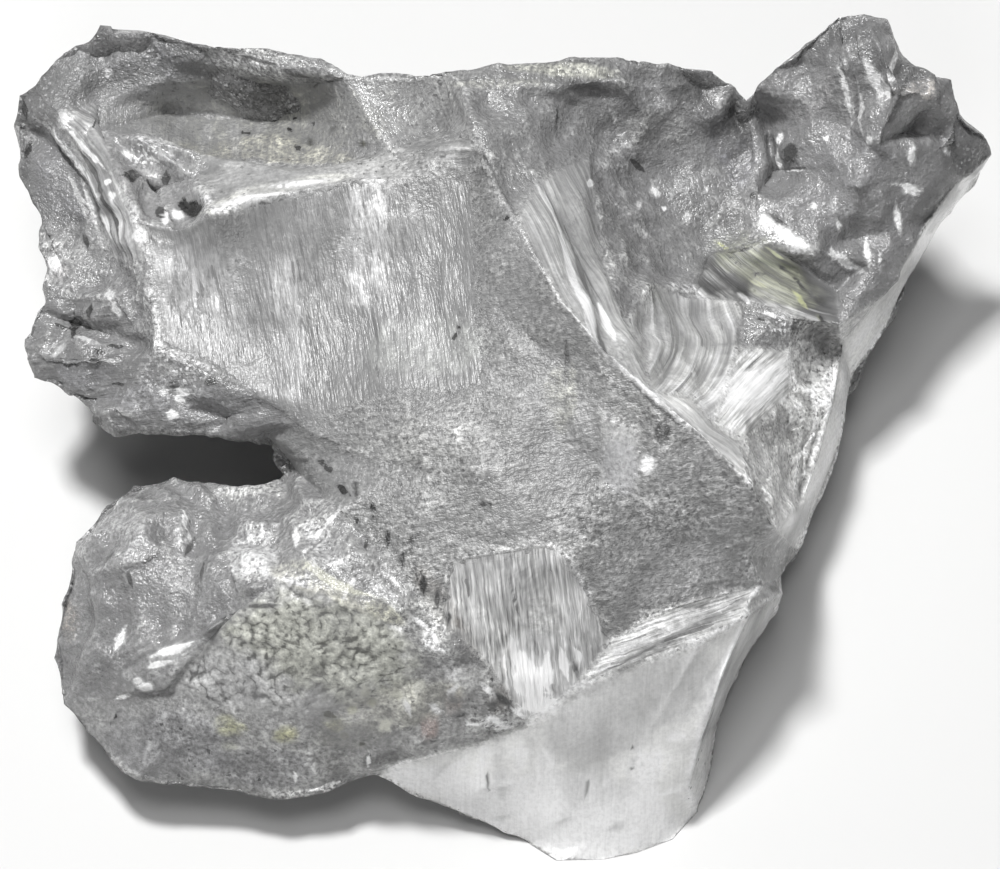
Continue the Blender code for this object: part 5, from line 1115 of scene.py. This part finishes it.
# broad patches are blended into the tone; crisp ones are kept as a field and a colour, the strongest field at
# each vertex winning, and the material's grain later breaks up their edges; among them are painted
# highlights, glints and reflections, painted dark refraction and painted shade
def stonePatches(spec, places, kindCounts, tone):
    across, up = sightedPlace(places)
    ragged = stoneNoise(spec, "ragged", places)
    hidden = kindShare(spec, kindCounts, *spec["hiddenKinds"])
    field = np.full(len(places), -1.0)
    colours = np.ones((len(places), 4))
    for patch in spec["patches"]:
        colour, share = np.broadcast_to(patch[5], 3), patch[6]
        here = patchField(spec, across, up, patch, ragged) - spec["hiddenFade"] * hidden
        if share < spec["crispShare"]:
            cover = share * np.clip(here / spec["patchEdge"], 0.0, 1.0)
            tone += (colour - tone) * cover[:, None]
        else:
            better = here > np.maximum(field, -0.9)
            field[better] = here[better]
            colours[better] = (*colour, share)
    return field, colours, tone


# each kind's sparkle, raised inside the glittering places
def stoneGlitter(spec, places, kindCounts):
    across, up = sightedPlace(places)
    ragged = stoneNoise(spec, "glitterEdge", places)
    sparkle = surfaceValue(spec, kindCounts, "sparkle")
    for *ellipse, added in spec["glitter"].values():
        sparkle += added * ellipseShare(across, up, ellipse, spec["glitterEdge"], ragged)
    return sparkle * stoneFade(spec, "glitter", places)


# place along and across the lines of the surface, for the drawn-out grain, and how much of it there is
def stoneFlow(spec, places, kindCounts):
    across, up = sightedPlace(places)
    strongest = kindCounts.argmax(axis=1)
    # lines fade out where kinds of surface meet
    clear = np.clip(2.0 * kindCounts.max(axis=1) - 1.0, 0.0, 1.0)
    flow = np.zeros((len(places), 3))
    fine = np.zeros(len(places))
    for name, (_, _, length, _, _, fineShare) in spec["lines"].items():
        chosen = strongest == list(spec["surfaces"]).index(name)
        aside, along = linePlace(spec, name, across[chosen], up[chosen])
        flow[chosen, 0] = aside
        flow[chosen, 1] = along / (spec["lineStretch"] * length)
        fine[chosen] = fineShare * clear[chosen]
    return flow, fine * stoneFade(spec, "fine", places)


def wearRidges(spec, places, quads):
    worn = softenShares(places, quads, spec["wornRounds"])
    across, up = sightedPlace(places)
    for ellipse in spec["worn"].values():
        share = ellipseShare(across, up, ellipse, spec["wornEdge"])
        places = places + (worn - places) * share[:, None]
    return places


def meshFromTriangles(name, places, triangles):
    mesh = bpy.data.meshes.new(name)
    mesh.vertices.add(len(places))
    mesh.vertices.foreach_set("co", places.astype(np.float32).ravel())
    mesh.loops.add(triangles.size)
    mesh.loops.foreach_set("vertex_index", triangles.astype(np.int32).ravel())
    mesh.polygons.add(len(triangles))
    mesh.polygons.foreach_set("loop_start", np.arange(0, triangles.size, 3, dtype=np.int32))
    mesh.polygons.foreach_set("use_smooth", np.ones(len(triangles), dtype=bool))
    return mesh


def storeValues(mesh, kind, field, values):
    for name, value in values.items():
        layer = mesh.attributes.new(name, kind, "POINT")
        layer.data.foreach_set(field, value.astype(np.float32).ravel())


# grid triangles thinned where the surface is flat, down to the wanted number
def thinStone(piece, wanted, freedom):
    group = piece.vertex_groups.new(name="freedom")
    for weight in np.unique(freedom):
        group.add(np.flatnonzero(freedom == weight).tolist(), float(weight), "REPLACE")
    thin = piece.modifiers.new("thin", "DECIMATE")
    thin.ratio = wanted / len(piece.data.polygons)
    thin.vertex_group = group.name
    thin.vertex_group_factor = 1e-6
    settled = bpy.data.meshes.new_from_object(piece.evaluated_get(bpy.context.evaluated_depsgraph_get()))
    piece.modifiers.clear()
    piece.vertex_groups.clear()
    old = piece.data
    piece.data = settled
    settled.name = old.name
    bpy.data.meshes.remove(old)


def makeStone(spec):
    patches, kinds = facetPatches(spec)
    places, rise, quads = gridOfPatches(patches, spec["cells"])
    quadKinds = np.repeat(kinds, spec["cells"] ** 2)
    places, quads, first = weldGrid(places, quads, spec)
    kindCounts = np.zeros((len(places), len(spec["surfaces"])))
    for corner in range(4):
        np.add.at(kindCounts, (quads[:, corner], quadKinds), 1.0)
    kindCounts /= kindCounts.sum(axis=1, keepdims=True)
    grounded = kindShare(spec, kindCounts, "base") > 0
    kindCounts = softenShares(kindCounts, quads, spec["softenRounds"])
    places = wearRidges(spec, places, quads)
    print("stone: facets divided into", len(quads), "cells")

    height, reliefToneAndShading, crack = stoneRelief(spec, places, kindCounts, rise[first])
    moved = places + surfaceNormals(places, quads) * height[:, None]
    moved[:, 2] = np.maximum(moved[:, 2], spec["footClearance"])
    moved = np.where(grounded[:, None], places, moved)
    # painted highlight on ridges and painted shade in creases, added to the tone
    reliefToneAndShading += paintedRidgeLight(spec, moved, quads)
    moved[:, :2] -= np.array(spec["planMiddle"])
    triangles = np.concatenate((quads[:, [0, 1, 2]], quads[:, [0, 2, 3]]))
    mesh = meshFromTriangles("topazStone", moved * mm, triangles)
    print("stone: relief carved")

    tone, milk, field, patchColours = stoneTone(spec, places, kindCounts, reliefToneAndShading)
    flow, fine = stoneFlow(spec, places, kindCounts)
    pits = kindShare(spec, kindCounts, "plateau") + spec["linePits"] * kindShare(spec, kindCounts, "striae")
    values = {"frost": surfaceValue(spec, kindCounts, "frost"), "milk": milk, "fine": fine,
              "pits": pits * stoneFade(spec, "pits", places), "crack": crack, "field": field,
              "grain": surfaceValue(spec, kindCounts, "grain"),
              "sparkle": stoneGlitter(spec, places, kindCounts)}
    storeValues(mesh, "FLOAT", "value", values)
    storeValues(mesh, "FLOAT_VECTOR", "vector", {"flow": flow})
    opaque = np.ones((len(places), 1))
    storeValues(mesh, "FLOAT_COLOR", "color", {"tone": np.hstack((tone, opaque)), "patch": patchColours})
    mesh.update(calc_edges=True)
    mesh.validate()
    piece = bpy.data.objects.new("topazStone", mesh)
    bpy.context.scene.collection.objects.link(piece)
    hidden = kindShare(spec, kindCounts, *spec["hiddenKinds"])
    seen, unseen = spec["freedom"]
    hiddenShare = np.clip((hidden - spec["hiddenFrom"]) / (1.0 - spec["hiddenFrom"]), 0.0, 1.0)
    thinStone(piece, spec["triangles"], np.round(seen + (unseen - seen) * hiddenShare, 1))
    print("stone:", len(triangles), "triangles thinned to", len(piece.data.polygons))
    return piece


finish = {
    "clearColour": (0.845, 0.845, 0.85),
    "ior": 1.62,
    "absorbColour": (0.735, 0.733, 0.74),
    "absorbDensity": 300.0,
    "clearRoughness": 0.06,
    "frostRoughness": 0.5,
    "grainScale": (2900.0, 3000.0, 2900.0),
    "lineScale": (4.2, 4.2, 1.0),  # cells to the millimetre
    "cellScale": (4600.0, 4600.0, 4600.0),
    "grainRoughness": 0.65,
    "grainDetail": 2.0,
    "middle": 0.5,  # of the noises, taken off so that they lighten as much as they darken
    "grainTone": 7.0,
    "chipTone": 0.55,
    "lowestTone": 0.12,
    "lineCells": 0.5,  # surfaces with more fine lines than this have their chips drawn out too
    "glintRange": 0.3,
    "darkSparkle": 0.8,
    "darkDepth": 0.7,
    "glintColour": (0.9, 0.9, 0.905),
    "bumpDistance": 0.00024,
    "pitLevels": (0.33, 0.30),
    "pitDepth": 0.85,
    "patchGrain": 0.7,
    "patchEdge": 0.5,
    "patchMottle": 0.16,
    "crackLevels": (0.11, 0.04),
    "crackGrain": 0.5,
    "crackDepth": 0.5,
    "milkGrain": 0.6,
}


# nodes are added by type, their fixed inputs set and their other inputs linked, all in one call
def addNode(tree, kind, settings=None, **sockets):
    node = tree.nodes.new("ShaderNode" + kind)
    for name, value in (settings or {}).items():
        setattr(node, name, value)
    for name, value in sockets.items():
        socket = node.inputs[int(name[1:])] if name[0] == "i" and name[1:].isdigit() else node.inputs[name]
        if isinstance(value, bpy.types.NodeSocket):
            tree.links.new(value, socket)
        else:
            socket.default_value = value
    return node


def mathNode(tree, operation, a, b, clamp=False):
    return addNode(tree, "Math", {"operation": operation, "use_clamp": clamp}, i0=a, i1=b).outputs[0]


def vectorNode(tree, operation, a, **sockets):
    return addNode(tree, "VectorMath", {"operation": operation}, i0=a, **sockets).outputs[0]


def vectorMix(tree, share, a, b):
    return addNode(tree, "Mix", {"data_type": "VECTOR"}, i0=share, i4=a, i5=b).outputs[1]


def stepNode(tree, value, low, high):
    return addNode(tree, "MapRange", None, Value=value, i1=low, i2=high).outputs[0]


# base * (1 - share * depth)
def darkened(tree, base, share, depth):
    kept = mathNode(tree, "SUBTRACT", 1.0, mathNode(tree, "MULTIPLY", share, depth))
    return mathNode(tree, "MULTIPLY", base, kept)


# the broken surface's grain, drawn out along its lines where it has any: a noise, and one number to each cell
def brokenGrain(tree, spec, fine):
    coords = addNode(tree, "TexCoord").outputs["Object"]
    flow = addNode(tree, "Attribute", {"attribute_name": "flow"}).outputs["Vector"]
    even = vectorNode(tree, "MULTIPLY", coords, i1=spec["grainScale"])
    lined = vectorNode(tree, "MULTIPLY", flow, i1=spec["lineScale"])
    shape = {"Scale": 1.0, "Detail": spec["grainDetail"], "Roughness": spec["grainRoughness"]}
    noises = [addNode(tree, "TexNoise", None, Vector=place, **shape).outputs[0] for place in (even, lined)]
    noise = addNode(tree, "Mix", None, i0=fine, i2=noises[0], i3=noises[1]).outputs[0]
    spread = vectorNode(tree, "MULTIPLY", coords, i1=spec["cellScale"])
    cells = vectorMix(tree, mathNode(tree, "GREATER_THAN", fine, spec["lineCells"]), spread, lined)
    cell = addNode(tree, "TexVoronoi", None, Vector=cells, Scale=1.0)
    return noise, addNode(tree, "SeparateColor", None, i0=cell.outputs["Color"]).outputs[0]


def topazMaterial(spec):
    material = bpy.data.materials.new("topazClear")
    material.use_nodes = True
    tree = material.node_tree
    shader = tree.nodes["Principled BSDF"]
    shader.inputs["IOR"].default_value = spec["ior"]
    tinted = {"Color": (*spec["absorbColour"], 1.0), "Density": spec["absorbDensity"]}
    absorb = addNode(tree, "VolumeAbsorption", None, **tinted)
    tree.links.new(absorb.outputs[0], tree.nodes["Material Output"].inputs["Volume"])
    names = ("frost", "milk", "fine", "pits", "grain", "sparkle", "crack", "field", "tone", "patch")
    stored = {name: addNode(tree, "Attribute", {"attribute_name": name}).outputs for name in names}
    frost, milk, fine, pits, grain, sparkle, crack, field = [stored[name]["Fac"] for name in names[:8]]
    noise, cell = brokenGrain(tree, spec, fine)
    texture = mathNode(tree, "MULTIPLY", mathNode(tree, "SUBTRACT", noise, spec["middle"]), grain)
    chipped = mathNode(tree, "MULTIPLY", mathNode(tree, "SUBTRACT", cell, spec["middle"]), grain)

    # glints and dark grains, each cell that draws high or low enough for the surface's sparkle
    glint = stepNode(tree, mathNode(tree, "ADD", cell, sparkle), 1.0, 1.0 + spec["glintRange"])
    shade = mathNode(tree, "LESS_THAN", cell, mathNode(tree, "MULTIPLY", sparkle, spec["darkSparkle"]))
    pit = mathNode(tree, "MULTIPLY", stepNode(tree, noise, *spec["pitLevels"]), pits)
    pit = mathNode(tree, "MAXIMUM", pit, mathNode(tree, "MULTIPLY", shade, spec["darkDepth"]))

    # light and dark of the grain, the pits and the cracks
    factor = mathNode(tree, "ADD", mathNode(tree, "MULTIPLY", texture, spec["grainTone"]),
                      mathNode(tree, "MULTIPLY", chipped, spec["chipTone"]))
    factor = mathNode(tree, "MAXIMUM", mathNode(tree, "ADD", factor, 1.0), spec["lowestTone"])
    factor = darkened(tree, factor, pit, spec["pitDepth"])
    shaken = mathNode(tree, "ADD", crack, mathNode(tree, "MULTIPLY", texture, spec["crackGrain"]))
    factor = darkened(tree, factor, stepNode(tree, shaken, *spec["crackLevels"]), spec["crackDepth"])
    tone = vectorNode(tree, "SCALE", stored["tone"]["Color"], Scale=factor)
    tone = vectorMix(tree, glint, tone, spec["glintColour"])

    # crisp patches of another tone, their edges broken up by the grain; among them painted highlights, glints
    # and reflections, painted dark refraction and painted shade
    edge = mathNode(tree, "MULTIPLY", mathNode(tree, "SUBTRACT", noise, spec["middle"]), spec["patchGrain"])
    inside = stepNode(tree, mathNode(tree, "ADD", field, edge), 0.0, spec["patchEdge"])
    cover = mathNode(tree, "MULTIPLY", inside, stored["patch"]["Alpha"])
    mottle = mathNode(tree, "MULTIPLY", factor, spec["patchMottle"])
    mottle = mathNode(tree, "ADD", mottle, 1.0 - spec["patchMottle"])
    patched = vectorNode(tree, "SCALE", stored["patch"]["Color"], Scale=mottle)
    tone = vectorMix(tree, cover, tone, patched)

    # milky where it is fractured, clear where it isn't, and opaque inside the crisp patches, the pits and the
    # glints, so that the painted highlights and dark marks keep their tone
    milk = mathNode(tree, "MAXIMUM", milk, inside)
    opaque = mathNode(tree, "ADD", milk, mathNode(tree, "MULTIPLY", texture, spec["milkGrain"]), True)
    opaque = mathNode(tree, "MAXIMUM", opaque, mathNode(tree, "MAXIMUM", pit, glint))
    clear = (*spec["clearColour"], 1.0)
    tint = addNode(tree, "Mix", {"data_type": "RGBA"}, i0=opaque, i6=clear, i7=tone).outputs[2]
    tree.links.new(tint, shader.inputs["Base Color"])
    tree.links.new(mathNode(tree, "SUBTRACT", 1.0, opaque, True), shader.inputs["Transmission Weight"])
    span = {"To Min": spec["clearRoughness"], "To Max": spec["frostRoughness"]}
    rough = addNode(tree, "MapRange", None, Value=frost, **span).outputs[0]
    tree.links.new(rough, shader.inputs["Roughness"])
    bump = addNode(tree, "Bump", None, Height=texture, Strength=1.0, Distance=spec["bumpDistance"])
    tree.links.new(bump.outputs[0], shader.inputs["Normal"])
    return material


table = {
    "size": 4.0,
    "colour": (0.74, 0.74, 0.735),
    "roughness": 0.7,
}


def makeTable(spec):
    half = spec["size"] / 2
    corners = [(-half, -half, 0), (half, -half, 0), (half, half, 0), (-half, half, 0)]
    mesh = bpy.data.meshes.new("tableTop")
    mesh.from_pydata(corners, [], [(0, 1, 2, 3)])
    top = bpy.data.objects.new("tableTop", mesh)
    bpy.context.scene.collection.objects.link(top)
    material = bpy.data.materials.new("paleTable")
    material.use_nodes = True
    shader = material.node_tree.nodes["Principled BSDF"]
    shader.inputs["Base Color"].default_value = (*spec["colour"], 1.0)
    shader.inputs["Roughness"].default_value = spec["roughness"]
    top.data.materials.append(material)
    return top


studio = {
    "skyColour": (0.04, 0.04, 0.042),
    # name: place, size, power (watts)
    "lamps": {
        "keyBox": ((-0.13, 0.19, 0.64), 0.1, 4.65),
        "overBox": ((-0.03, -0.03, 0.62), 0.22, 0.85),
        "frontBox": ((-0.05, -0.44, 0.36), 0.16, 0.4),
    },
    "aim": (0.0, 0.0, 0.012),
}


def pointAt(piece, place, aim):
    direction = np.array(aim) - np.array(place)
    fromDown = math.atan2(math.hypot(direction[0], direction[1]), -direction[2])
    piece.location = place
    piece.rotation_euler = (fromDown, 0.0, math.atan2(direction[1], direction[0]) - math.pi / 2)


def lightStudio(spec):
    world = bpy.data.worlds.new("studioSky")
    bpy.context.scene.world = world
    world.use_nodes = True
    world.node_tree.nodes["Background"].inputs["Color"].default_value = (*spec["skyColour"], 1.0)
    for name, (place, size, power) in spec["lamps"].items():
        data = bpy.data.lights.new(name, "AREA")
        data.shape = "SQUARE"
        data.size = size
        data.energy = power
        lamp = bpy.data.objects.new(name, data)
        bpy.context.scene.collection.objects.link(lamp)
        pointAt(lamp, place, spec["aim"])


view = {
    "lens": 117.0,
    "sensor": 36.0,
    "nearest": 0.01,
    "noiseThreshold": 0.05,
    "bounces": 5,
    "clearBounces": 4,
}


def placeCamera(spec, stoneSpec):
    scene = bpy.context.scene
    scene.view_settings.view_transform = "Standard"
    scene.cycles.adaptive_threshold = spec["noiseThreshold"]
    scene.cycles.max_bounces = spec["bounces"]
    scene.cycles.transmission_bounces = spec["clearBounces"]
    scene.cycles.caustics_refractive = False
    shift = np.array((*stoneSpec["planMiddle"], 0.0))
    place = (sightingFrame()[0] - shift) * mm
    target = (np.array(stoneSpec["sightTarget"]) - shift) * mm
    data = bpy.data.cameras.new("viewCamera")
    data.lens = spec["lens"]
    data.sensor_width = spec["sensor"]
    data.clip_start = spec["nearest"]
    camera = bpy.data.objects.new("viewCamera", data)
    scene.collection.objects.link(camera)
    pointAt(camera, tuple(place), tuple(target))
    scene.camera = camera


topaz = makeStone(stone)
topaz.data.materials.append(topazMaterial(finish))
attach(topaz, "root")
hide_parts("topaz")
floor = makeTable(table)
lightStudio(studio)
placeCamera(view, stone)
print("scene set")
